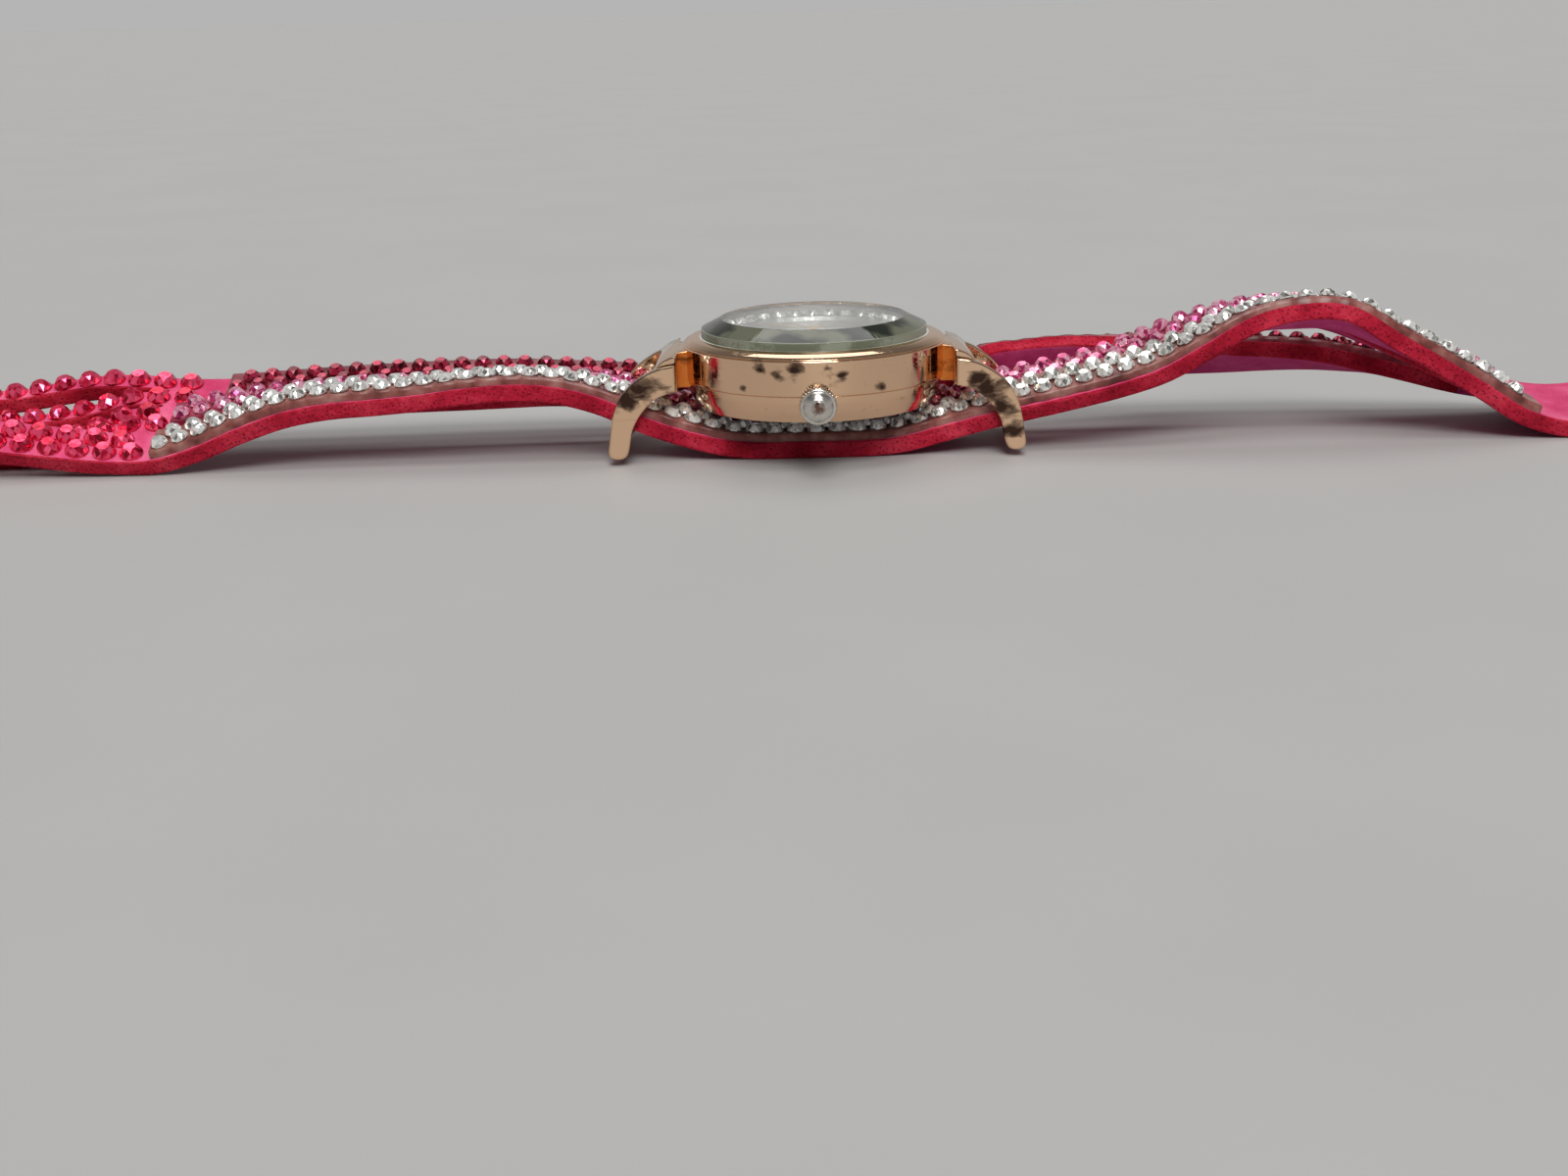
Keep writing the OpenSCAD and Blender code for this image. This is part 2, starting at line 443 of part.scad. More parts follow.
module case_middle() {
  color([0.85, 0.6, 0.48])
  difference() {
    union() {
      up_case() rotate_extrude($fn = 96) polygon([[ring_in, 0.25], [rc - 1.4, 0.25], [rc - 0.75, 1.4],
        [rc - 0.3, 2.5], [rc - 0.13, seam_h], [rc, seam_h + 0.06], [rc, wall_h - 0.12],
        [rc - 0.1, wall_h], [ring_in, wall_h]]);
      up_case() { lug_end(); mirror([1, 0, 0]) lug_end(); }
    }
    up_case() {
      translate([0, 0, ledge_h]) cylinder(h = 10, r = wall_in, $fn = 96);
      translate([0, 0, -5]) cylinder(h = 20, r = ring_in, $fn = 96);
      translate([0, 0, -5]) cylinder(h = 5 + 1.1, r = back_r + 0.05, $fn = 96);
      difference() {
        translate([0, 0, wall_h - 0.7]) cylinder(h = 2, r = rc - 1.18, $fn = 96);
        translate([0, 0, wall_h - 0.8]) cylinder(h = 3, r = rc - 1.72, $fn = 96);
      }
    }
    along_stem() translate([0, 0, 11]) cylinder(h = 6, r = tube_r);
    for (sx = [-1, 1], sy = [-1, 1]) translate([sx * bar_x, sy * (arm_y - 0.3), bar_z])
      rotate([-90 * sy, 0, 0]) cylinder(h = 0.3 + tip_reach + 0.15, r = tip_d / 2 + run_gap);
  }
}
module case_back() {
  color([0.72, 0.73, 0.75])
  up_case() {
    cylinder(h = 0.8, r = back_r, $fn = 96);
  }
}
module case_back_gasket() {
  color([0.1, 0.1, 0.1])
  up_case() difference() {
    translate([0, 0, 0.8]) cylinder(h = 0.3, r = back_r, $fn = 96);
    cylinder(h = 3, r = ring_in + 0.05, $fn = 96);
  }
}
glass_h = wall_h + 0.31;
module bezel() {
  color([0.87, 0.63, 0.51])
  up_case() {
    rotate_extrude($fn = 96) polygon([[wall_in - 0.35, wall_h], [rc - 1.7, wall_h], [rc - 1.7, wall_h - 0.65],
      [rc - 1.2, wall_h - 0.65], [rc - 1.2, wall_h], [rc - 0.12, wall_h], [rc - 0.02, wall_h + 0.1],
      [rc - 0.35, wall_h + 0.36], [rc - 0.9, wall_h + 0.58], [rc - 1.5, wall_h + 0.71],
      [glass_d / 2 + gasket_w + 0.1, wall_h + 0.76], [glass_d / 2 + gasket_w, wall_h + 0.66],
      [glass_d / 2 + gasket_w, glass_h], [wall_in - 0.35, glass_h]]);
  }
}
module glass() {
  color([0.8, 0.88, 0.85, 0.4])
  up_case() translate([0, 0, glass_h]) {
    rotate_extrude($fn = 96) polygon([[0, 0], [glass_d / 2, 0], [glass_d / 2, glass_side],
      [table_d / 2, glass_t], [0, glass_t]]);
  }
}
module glass_gasket() {
  color([0.9, 0.9, 0.88])
  up_case() difference() {
    translate([0, 0, glass_h]) cylinder(h = 0.4, r = glass_d / 2 + gasket_w, $fn = 96);
    translate([0, 0, glass_h - 1]) cylinder(h = 3, r = glass_d / 2, $fn = 96);
  }
}
ring_h = dial_top + 1.3;
module rehaut_ring() {
  color([0.82, 0.82, 0.84])
  up_case() {
    rotate_extrude($fn = 96) polygon([[ring_r - 1.2, dial_top], [dial_d / 2, dial_top], [dial_d / 2, wall_h - 0.02],
      [dial_d / 2 - 0.4, wall_h - 0.02], [dial_d / 2 - 0.4, ring_h], [ring_r - 0.95, ring_h],
      [ring_r - 1.2, ring_h - 0.5]]);
  }
}
module rehaut_stones() {
  color([0.95, 0.95, 0.97])
  up_case() for (i = [0:ring_stones - 1]) rotate([0, 0, 360 / ring_stones * i])
    translate([ring_r, 0, ring_h + seat]) stone(ring_stone_d, 0.6);
}
module dial() {
  color([0.88, 0.88, 0.88])
  up_case() difference() {
    translate([0, 0, ledge_h]) cylinder(h = dial_t, r = dial_d / 2, $fn = 96);
    cylinder(h = 20, r = 1.05);
  }
}
module hour_markers() {
  color([0.85, 0.62, 0.5])
  up_case() for (i = [0:11]) rotate([0, 0, 30 * i])
    translate([ring_r - 2.9, -0.16, dial_top]) cube([1.5, 0.32, 0.12]);
}

// Hands: heights of the three levels above the case back
hour_z = dial_top + 0.55;
minute_z = dial_top + 1.0;
second_z = dial_top + 1.45;
arbor_r = 0.3;
tube_in = arbor_r + run_gap;
tube_out = 0.58;
pipe_in = tube_out + run_gap;
pipe_out = 0.9;
module hand(l, w, t, hub, hole) {
  difference() {
    union() {
      cylinder(h = t, r = hub);
      linear_extrude(t) polygon([[-1.2, -w / 2], [l * 0.75, -w / 2], [l, 0], [l * 0.75, w / 2], [-1.2, w / 2]]);
    }
    translate([0, 0, -1]) cylinder(h = 3, r = hole);
  }
}
// Twelve o'clock lies towards +X and the hands run clockwise seen from above
module clock_turn(deg) { up_case() rotate([0, 0, -deg]) children(); }
module hour_hand() {
  color([0.85, 0.62, 0.5]) clock_turn(305) translate([0, 0, hour_z]) hand(hour_len, 0.8, 0.15, 1.15, pipe_out);
}
module minute_hand() {
  color([0.85, 0.62, 0.5]) clock_turn(60) translate([0, 0, minute_z]) hand(minute_len, 0.65, 0.15, 0.95, tube_out);
}
module second_hand() {
  color([0.85, 0.62, 0.5]) clock_turn(210) translate([0, 0, second_z]) hand(second_len, 0.25, 0.12, 0.65, arbor_r);
}

// Movement: pitch radii of the wheels, drawn a hair small so that they run free
mesh = 0.03;
mr = movement_d / 2;
function polar(r, a) = [r * cos(a), r * sin(a), 0];
centre_r = 3.0;
third_pr = 0.4;
third_r = 3.022;
third_at = polar(centre_r + third_pr, -20);
inter_pr = 0.56;
seconds_r = 2.8;
inter_at = polar(seconds_r + inter_pr, 110);
inter_r = 2.1;
rotor_pr = 0.35;
rotor_at = inter_at + polar(inter_r + rotor_pr, 60);
minute_r = 2.32;
minute_pr = 0.725;
hour_r = 2.175;
minute_at = polar(tube_out + minute_r, -75);
cell_at = polar(mr - 0.05 - cell_d / 2, 218);
plate_h = 3.6;
bridge_h = 1.8;
pivot_r = 0.2;
coil_y = 7.4;
module disc(h0, h1, r) { translate([0, 0, h0]) cylinder(h = h1 - h0, r = r); }
module movement_ring() {
  color([0.85, 0.85, 0.82])
  up_case() difference() {
    disc(1.15, ledge_h, ring_in - 0.05);
    disc(0, 9, mr + 0.05);
    translate([-1.25, -20, 0]) cube([2.5, 20, 9]);
  }
}
module mainplate() {
  color([0.75, 0.72, 0.62])
  up_case() difference() {
    union() {
      disc(plate_h, ledge_h, mr);
      translate([-1.5, -8.6, bridge_h + 0.05]) cube([3, 2, plate_h - bridge_h]);
      for (p = [[7.7, 2.4, 0], [-7.4, 3.2, 0], [4.4, -6.6, 0]]) translate(p) disc(bridge_h + 0.4, plate_h + 0.1, 0.6);
    }
    disc(4.1, 9, minute_r + 0.05);
    translate(minute_at) difference() { disc(4.1, 9, minute_r + 0.13); disc(4, 4.5, 0.25); }
    disc(0, 9, tube_out + run_gap);
    for (p = [third_at, inter_at, rotor_at]) translate(p) disc(3, 3.95, pivot_r + run_gap);
    translate([0, 0, stem_h]) rotate([90, 0, 0]) cylinder(h = 12, r = stem_d / 2 + run_gap);
  }
}
module train_bridge() {
  color([0.8, 0.75, 0.55])
  up_case() difference() {
    disc(bridge_h, bridge_h + 0.4, mr);
    translate(cell_at) disc(0, 9, cell_d / 2 + 0.1);
    translate([-1.75, -12, 0]) cube([3.5, 8.6, 9]);
    translate([-9, -12, 0]) cube([9, 8.3, 9]);
    translate([-4.9, 6.45, 0]) cube([9.8, 5, 9]);
    disc(0, 9, arbor_r + run_gap);
    for (p = [third_at, inter_at, rotor_at]) translate(p) disc(0, 9, pivot_r + run_gap);
  }
}
module circuit_board() {
  color([0.1, 0.35, 0.2])
  up_case() difference() {
    disc(bridge_h - 0.45, bridge_h, mr - 0.1);
    translate(cell_at) disc(0, 9, cell_d / 2 + 0.1);
    translate([-1.75, -12, 0]) cube([3.5, 8.6, 9]);
    translate([-9, -12, 0]) cube([9, 8.3, 9]);
  }
}
module cell() { color([0.8, 0.8, 0.8]) up_case() translate(cell_at) disc(0.95, 3.05, cell_d / 2); }
module cell_clamp() {
  color([0.75, 0.7, 0.5])
  up_case() rotate([0, 0, 38]) {
    translate([-mr + 0.7, -0.8, 0.82]) cube([mr - 3, 1.6, 0.13]);
    translate([-mr + cell_d + 0.2, -0.8, 0.82]) cube([0.6, 1.6, bridge_h - 0.45 - 0.82]);
  }
}
module coil() {
  color([0.7, 0.35, 0.2])
  up_case() translate([-3, coil_y, 2.75]) rotate([0, 90, 0])
  difference() {
    cylinder(h = 6, r = 0.75);
    translate([0, 0, -1]) cylinder(h = 8, r = 0.45);
  }
}
module coil_core() {
  color([0.6, 0.6, 0.6]) up_case() translate([-4.4, coil_y - 0.3, 2.45]) cube([8.8, 0.6, 0.6]);
}
module stator() {
  color([0.65, 0.65, 0.66])
  up_case() difference() {
    translate([-4.4, 4.2, 3.05]) cube([8.8, 3.6, 0.3]);
    translate([-3.1, 6.55, 0]) cube([6.2, 3, 9]);
    translate(rotor_at) disc(0, 9, 1.2);
  }
}
module rotor() {
  color([0.3, 0.3, 0.32])
  up_case() translate(rotor_at) {
    disc(bridge_h + 0.1, 3.9, pivot_r);
    disc(2.68, 2.98, rotor_pr - mesh);
    disc(3.05, 3.5, 1.0);
  }
}
module intermediate_wheel() {
  color([0.82, 0.7, 0.4])
  up_case() translate(inter_at) {
    disc(bridge_h + 0.1, 3.9, pivot_r);
    disc(2.3, 2.75, inter_pr - mesh);
    disc(2.75, 2.95, inter_r - mesh);
  }
}
module seconds_wheel() {
  color([0.82, 0.7, 0.4])
  up_case() {
    disc(bridge_h + 0.1, second_z + 0.16, arbor_r);
    disc(2.35, 2.55, seconds_r - mesh);
    disc(2.55, 3.0, 0.378 - mesh);
  }
}
module third_wheel() {
  color([0.82, 0.7, 0.4])
  up_case() translate(third_at) {
    disc(bridge_h + 0.1, 3.9, pivot_r);
    disc(2.75, 2.95, third_r - mesh);
    disc(2.95, 3.4, third_pr - mesh);
  }
}
module centre_wheel() {
  color([0.82, 0.7, 0.4])
  up_case() difference() {
    union() {
      disc(3.1, 3.3, centre_r - mesh);
      disc(3.1, minute_z + 0.2, tube_out);
    }
    disc(0, 20, tube_in);
  }
}
module minute_wheel() {
  color([0.82, 0.7, 0.4])
  up_case() translate(minute_at) difference() {
    union() {
      disc(4.13, 4.3, minute_r - mesh);
      disc(4.3, 4.55, minute_pr - mesh);
    }
    disc(0, 9, 0.25 + run_gap);
  }
}
module hour_wheel() {
  color([0.82, 0.7, 0.4])
  up_case() difference() {
    union() {
      disc(4.34, 4.54, hour_r - mesh);
      disc(4.34, hour_z + 0.2, pipe_out);
    }
    disc(0, 20, pipe_in);
  }
}

// Crown and stem, counted outwards from the axis of the case
crown_in = rc + 0.3;
crown_r = crown_d / 2;
tube_end = crown_in + 0.5 + crown_pull;
module crown() {
  color([0.78, 0.76, 0.74])
  along_stem() difference() {
    rotate_extrude($fn = 64) translate([0, crown_in]) polygon([[tube_r + 0.2, 0], [crown_r - 0.15, 0], [crown_r, 0.15],
      [crown_r, 1.4], [crown_r - 0.18, 1.6], [crown_r - 0.42, 1.62], [crown_r - 0.5, 1.75],
      [crown_r - 0.68, 2.02], [crown_r - 1.05, 2.26], [crown_r - 1.5, 2.4], [0, 2.46],
      [0, 1.9], [stem_d / 2, 1.9], [stem_d / 2, 1.45], [tube_r + 0.2, 1.45]]);
    for (i = [0:35]) rotate([0, 0, 10 * i]) translate([crown_r + 0.05, 0, crown_in - 1])
      cylinder(h = 2.4, r = 0.13, $fn = 16);
  }
}
module crown_gasket() {
  color([0.12, 0.12, 0.12])
  along_stem() difference() {
    translate([0, 0, crown_in + 0.1]) cylinder(h = 0.4, r = tube_r + 0.19);
    cylinder(h = 30, r = tube_r + 0.03);
  }
}
module case_tube() {
  color([0.8, 0.8, 0.8])
  along_stem() difference() {
    translate([0, 0, ring_in - 0.05]) cylinder(h = tube_end - ring_in + 0.05, r = tube_r);
    cylinder(h = 30, r = stem_d / 2 + run_gap);
  }
}
clutch_a = 4.2;
clutch_w = 1.4;
square_w = 0.68;
module stem() {
  color([0.6, 0.6, 0.62])
  along_stem() {
    translate([-square_w / 2, -square_w / 2, clutch_a - 0.6]) cube([square_w, square_w, 2.6]);
    translate([0, 0, clutch_a + 2]) cylinder(h = crown_in + 1.9 - clutch_a - 2, r = stem_d / 2);
  }
}
module clutch_wheel() {
  color([0.6, 0.6, 0.62])
  along_stem() difference() {
    translate([0, 0, clutch_a]) cylinder(h = clutch_w, r = 0.95);
    translate([-square_w / 2 - 0.05, -square_w / 2 - 0.05, 0]) cube([square_w + 0.1, square_w + 0.1, 20]);
  }
}

// Spring bars between the lug arms
tube_l = lug_gap - 0.4;
collar_at = tube_l / 2 - 0.35;
module on_bar(side) { translate([side * bar_x, 0, bar_z]) children(); }
module bar_tube() {
  rotate([90, 0, 0]) difference() {
    cylinder(h = tube_l, r = bar_d / 2, center = true);
    cylinder(h = tube_l - 0.6, r = bar_d / 2 - 0.15, center = true);
    cylinder(h = tube_l + 2, r = tip_d / 2 + run_gap, center = true);
  }
}
module bar_tip(sy) {
  rotate([-90 * sy, 0, 0]) {
    translate([0, 0, collar_at - 0.4]) cylinder(h = 0.4, r = bar_d / 2 - 0.15 - run_gap);
    translate([0, 0, collar_at - 0.2]) cylinder(h = arm_y + tip_reach - collar_at + 0.2, r = tip_d / 2);
  }
}
// Wound spring between the collars of two tips
spring_l = 2 * (collar_at - 0.4) - 0.1;
spring_r = bar_d / 2 - 0.3;
wire_r = 0.08;
module bar_spring() {
  turns = 7;
  k = 10;
  n = turns * k;
  pts = [for (i = [0:n], j = [0:3]) let(a = 360 / k * i, b = 90 * j + 45,
    r = spring_r + wire_r * cos(b), y = (i / n - 0.5) * (spring_l - 2 * wire_r) + wire_r * sin(b))
    [r * cos(a), y, r * sin(a)]];
  faces = concat([[3, 2, 1, 0]], [for (i = [0:n - 1], j = [0:3]) let(a = 4 * i + j, b = 4 * i + (j + 1) % 4)
    each [[a, b, b + 4], [a, b + 4, a + 4]]], [[4 * n, 4 * n + 1, 4 * n + 2, 4 * n + 3]]);
  polyhedron(points = pts, faces = faces);
}
module spring_bar_left() { color([0.7, 0.7, 0.7]) on_bar(-1) bar_tube(); }
module spring_bar_right() { color([0.7, 0.7, 0.7]) on_bar(1) bar_tube(); }
module bar_tip_left_near() { color([0.7, 0.7, 0.7]) on_bar(-1) bar_tip(-1); }
module bar_tip_left_far() { color([0.7, 0.7, 0.7]) on_bar(-1) bar_tip(1); }
module bar_tip_right_near() { color([0.7, 0.7, 0.7]) on_bar(1) bar_tip(-1); }
module bar_tip_right_far() { color([0.7, 0.7, 0.7]) on_bar(1) bar_tip(1); }
module bar_spring_left() { color([0.7, 0.7, 0.7]) on_bar(-1) bar_spring(); }
module bar_spring_right() { color([0.7, 0.7, 0.7]) on_bar(1) bar_spring(); }

strap();
crystal_carrier();
pink_carrier();
garnet_carrier();
crystal_stones_near();
crystal_stones_far();
pink_stones_near();
pink_stones_far();
garnet_stones_near();
garnet_stones_far();
fuchsia_stones_left();
fuchsia_stones_right();
snap_studs();
snap_posts();
snap_caps();
snap_sockets();
case_middle();
case_back();
case_back_gasket();
bezel();
glass();
glass_gasket();
rehaut_ring();
rehaut_stones();
dial();
hour_markers();
hour_hand();
minute_hand();
second_hand();
movement_ring();
mainplate();
train_bridge();
circuit_board();
cell();
cell_clamp();
coil();
coil_core();
stator();
rotor();
intermediate_wheel();
seconds_wheel();
third_wheel();
centre_wheel();
minute_wheel();
hour_wheel();
crown();
crown_gasket();
case_tube();
stem();
clutch_wheel();
spring_bar_left();
spring_bar_right();
bar_tip_left_near();
bar_tip_left_far();
bar_tip_right_near();
bar_tip_right_far();
bar_spring_left();
bar_spring_right();
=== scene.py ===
"""Wrap watch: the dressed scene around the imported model. Lengths in the sections are millimetres."""
import math

import bpy
import numpy as np
from mathutils import Matrix


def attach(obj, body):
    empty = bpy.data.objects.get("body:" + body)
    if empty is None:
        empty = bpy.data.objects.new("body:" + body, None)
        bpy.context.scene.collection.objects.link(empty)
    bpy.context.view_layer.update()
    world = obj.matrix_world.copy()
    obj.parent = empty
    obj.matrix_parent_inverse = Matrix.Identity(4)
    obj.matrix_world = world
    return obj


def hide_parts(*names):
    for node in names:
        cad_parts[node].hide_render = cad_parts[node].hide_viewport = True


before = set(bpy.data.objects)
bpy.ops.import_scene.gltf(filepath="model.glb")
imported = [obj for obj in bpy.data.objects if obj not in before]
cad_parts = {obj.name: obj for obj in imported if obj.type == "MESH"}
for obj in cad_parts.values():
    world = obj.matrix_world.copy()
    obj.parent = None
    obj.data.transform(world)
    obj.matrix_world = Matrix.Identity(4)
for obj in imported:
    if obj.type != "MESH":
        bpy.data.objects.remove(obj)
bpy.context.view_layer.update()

# Camera
# The view is from 225 mm in front of the middle of the case, 4 mm to its left and 50 mm up. It
# looks down 16.6 degrees and leans a degree and a half, as the hand-held photograph does.
CAM_PLACE = (-4.197, -225.0, 50.16)
CAM_DOWN, CAM_LEAN = math.radians(16.608), math.radians(-1.521)
# picture widths from the lens to the picture, and the film width in mm
CAM_REACH, FILM = 2010.53 / 1600, 36.0
cam_data = bpy.data.cameras.new("camera")
cam_data.sensor_width = FILM
cam_data.lens = CAM_REACH * FILM
cam_data.clip_start, cam_data.clip_end = 0.01, 50
camera = bpy.data.objects.new("camera", cam_data)
bpy.context.scene.collection.objects.link(camera)
look = np.array([0, math.cos(CAM_DOWN), -math.sin(CAM_DOWN)])
flat_up = np.array([0, math.sin(CAM_DOWN), math.cos(CAM_DOWN)])
side = np.array([1.0, 0, 0]) * math.cos(CAM_LEAN) + flat_up * math.sin(CAM_LEAN)
over = flat_up * math.cos(CAM_LEAN) - np.array([1.0, 0, 0]) * math.sin(CAM_LEAN)
turn = np.eye(4)
turn[:3, 0], turn[:3, 1], turn[:3, 2], turn[:3, 3] = side, over, -look, np.array(CAM_PLACE) / 1000
camera.matrix_world = Matrix(turn)
bpy.context.scene.camera = camera

# Suede strap
# One band of fuchsia suede, cut through lengthwise into strands that stay joined at four bridges.
# Die cut: the faces are napped, the cut edges are darker and pitted. It lies in waves on the table.
# The lists hold one value for each 5 mm of length: height of a strand's near lower edge, its
# sideways lean in degrees and its sideways shift.
z_near = [
    0.6, 0.6, 0.6, 0.6, 0.6, 0.6, 0.61, 0.69, 0.8, 1.08, 1.55, 2.02, 2.3, 2.42, 2.51, 2.58, 2.6, 2.55,
    2.4, 1.95, 1.3, 0.65, 0.12, 0.18, 1.5, 3.47, 5.07, 5.87, 6.17, 6.56, 7.12, 7.45, 7.1, 5.7, 3.4,
    1.6, 0.38, 0, 0, 0, 0.39, 1.58, 2.82, 3.85, 4.9, 6.06, 7.68, 10.31, 13.1, 14.32, 13.95, 10.85, 7.9,
    4.88, 1.74, 0.2, 0, 0.06, 0.2, 0.64, 1.38, 2, 2.45, 2.84, 3, 2.78, 2.3, 1.82, 1.6, 1.73, 1.95, 2,
    2, 2, 2, 2, 2,]
tilt_near = [
    0, 0, 0, 0, 0, 0, 0.26, 1.49, 3, 4.51, 6.25, 8.11, 10, 11.84, 13.71, 15.72, 18, 20.88, 24, 27.45,
    28, 28, 26, 22.72, 18, 13.11, 9.42, 7.31, 5.52, 2.34, -1.44, -3.69, -2, 5.47, 10, 7.21, 1.81, 0, 0,
    0, 1.31, 6.49, 14.61, 20.76, 22, 21.01, 15.67, 5.53, -10, -19.44, -18.2, -6, 2, 6.17, 6.88, 4.77,
    4, 4.8, 6, 6.88, 7.66, 8, 7.85, 7.48, 7, 6.3, 5.29, 4.14, 3, 1.6, 0.29, 0, 0, 0, 0, 0, 0,]
z_mid = [
    0.6, 0.6, 0.6, 0.6, 0.6, 0.6, 0.62, 0.69, 0.8, 0.99, 1.15, 1.2, 1, 0.6, 0.25, 0.05, 0, 0, 0, 0,
    0.1, 0.75, 2.3, 2.48, 3.3, 4.23, 4.7, 5, 5.2, 5.31, 5.4, 5.53, 5.6, 5.19, 4, 2.17, 0.53, 0, 0, 0,
    0.5, 1.99, 3.42, 4.35, 5.21, 6.56, 8.49, 10.6, 12.2, 12.9, 12.2, 9.84, 7.3, 4.9, 2.56, 0.68, 0.41,
    0.51, 0.7, 0.99, 1.36, 1.6, 1.7, 1.77, 1.8, 1.8, 1.8, 1.8, 1.8, 1.87, 1.97, 2, 2, 2, 2, 2, 2,]
tilt_mid = [
    0, 0, 0, 0, 0, 0, 0.18, 1.01, 2, 2.98, 4.1, 5.16, 5.4, 5, 4.6, 4.2, 4, 4, 4.2, 5.5, 9, 15.5, 25,
    22.77, 18, 13.19, 10, 8.85, 8, 6.92, 6, 5.33, 5, 5.26, 6, 4.05, 1.12, 0, 0, 0, 1.82, 6.87, 12.28,
    17.36, 18, 18, 16.35, 8, -2, -9, -9.36, -4.27, 1, 6, 6.88, 4.77, 4, 4.5, 5, 5, 5, 5, 4.83, 4.44, 4,
    3.58, 3.11, 2.58, 2, 1.11, 0.2, 0, 0, 0, 0, 0, 0,]
shift_mid = [
    0, 0, 0, 0, 0, 0, 0, 0, -0.01, -0.02, -0.03, -0.05, -0.06, -0.08, -0.1, -0.12, -0.15, -0.2, -0.25,
    -0.34, -0.37, -0.41, -0.52, -0.45, -0.21, -0.03, -0.02, -0.01, -0.01, 0, 0, 0, 0, -0.01, -0.02,
    -0.01, 0, 0, 0, 0, 0, -0.01, -0.04, -0.08, -0.09, -0.08, -0.04, -0.01, -0.02, -0.07, -0.06, -0.01,
    0, -0.02, -0.04, -0.02, -0.01, -0.02, -0.03, -0.04, -0.05, -0.06, -0.05, -0.05, -0.04, -0.04,
    -0.02, -0.02, -0.01, 0, 0, 0, 0, 0, 0, 0, 0,]
z_far = [
    0.6, 0.6, 0.6, 0.6, 0.6, 0.6, 0.63, 0.79, 1, 1.27, 1.62, 1.97, 2.2, 2.35, 2.48, 2.57, 2.6, 2.5,
    2.4, 2.4, 2.75, 3.6, 4.7, 4.48, 4.4, 4.49, 4.7, 4.89, 5.01, 5.08, 5.1, 5, 4.66, 4.32, 3.82, 2.15,
    0.82, 0.43, 0.35, 0.43, 0.9, 4.2, 8.75, 9.75, 10.02, 9.75, 9.35, 8.9, 8.4, 8.08, 7.44, 6.25, 4.93,
    3.56, 2.55, 1.14, 0.77, 1.06, 1.6, 2.34, 3.19, 3.6, 3.6, 3.6, 3.6, 3.4, 2.96, 2.49, 2.2, 2.09,
    2.01, 2, 2, 2, 2, 2, 2,]
tilt_far = [
    0, 0, 0, 0, 0, 0, 0.41, 2.21, 4, 5.13, 6.12, 7.04, 8, 9.19, 10.5, 11.56, 12, 12, 12, 12, 13.17, 16,
    22.91, 22.66, 21.05, 21.97, 22, 22, 22, 22, 22, 22, 22, 21.59, 19.06, 10.71, 4.25, 1.15, 0, 0, -3,
    -30, -58, -64, -61.5, -56, -46, -38, -31.5, -26.37, -19.57, -10.88, -2.33, 3.68, 6.88, 4.77, 4,
    5.2, 7, 8.32, 9.49, 10, 9.66, 8.87, 8, 7.16, 6.22, 5.17, 4, 2.21, 0.41, 0, 0, 0, 0, 0, 0,]
shift_far = [
    0, 0, 0, 0, 0, 0, 0, 0, -0.01, -0.02, -0.04, -0.06, -0.08, -0.11, -0.13, -0.15, -0.18, -0.22,
    -0.28, -0.37, -0.43, -0.54, -0.96, -0.86, -0.41, 0.05, 0.27, 0.48, 0.74, 1.01, 1.27, 1.57, 1.9,
    2.23, 2.41, 2.34, 2.15, 2, 1.95, 1.95, 1.95, 1.93, 1.89, 1.78, 1.66, 1.55, 1.44, 1.32, 1.11, 0.82,
    0.49, 0.17, 0, -0.04, -0.08, -0.04, -0.03, -0.04, -0.05, -0.06, -0.07, -0.08, -0.07, -0.07, -0.06,
    -0.05, -0.03, -0.02, -0.01, 0, 0, 0, 0, 0, 0, 0, 0,]
z_edge = [
    0.6, 0.6, 0.6, 0.6, 0.6, 0.6, 0.67, 0.99, 1.4, 1.91, 2.55, 3.16, 3.6, 3.85, 4.05, 4.22, 4.4, 4.6,
    4.8, 5, 5.74, 6.3, 6.23, 5.65, 5.5, 5.63, 5.84, 6.03, 6.15, 6.22, 6.24, 6.14, 5.8, 5.44, 4.81,
    2.71, 1.05, 0.49, 0.35, 0.43, 0.74, 2.68, 6.16, 7.01, 7.34, 7.22, 7.16, 7.02, 6.81, 6.72, 6.41,
    5.68, 4.8, 3.75, 2.91, 1.43, 0.98, 1.45, 2.3, 3.34, 4.47, 5, 4.99, 4.95, 4.9, 4.57, 3.88, 3.13,
    2.6, 2.28, 2.05, 2, 2, 2, 2, 2, 2,]
tilt_edge = [
    0, 0, 0, 0, 0, 0, 0.51, 2.77, 5, 6.44, 7.71, 8.88, 10, 11.25, 12.56, 13.58, 14, 14, 14, 16, 17.42,
    20, 23.78, 22.66, 21.05, 21.97, 22, 22, 22, 22, 22, 22, 22, 21.59, 19.06, 10.71, 4.25, 1.15, 0, 0,
    -3, -30, -58, -64, -61.5, -56, -46, -38, -31.5, -26.37, -19.57, -10.88, -2.33, 3.68, 6.88, 4.84, 4,
    5.66, 8, 9.38, 10.53, 11, 10.67, 9.9, 9, 8, 6.77, 5.4, 4, 2.15, 0.39, 0, 0, 0, 0, 0, 0,]
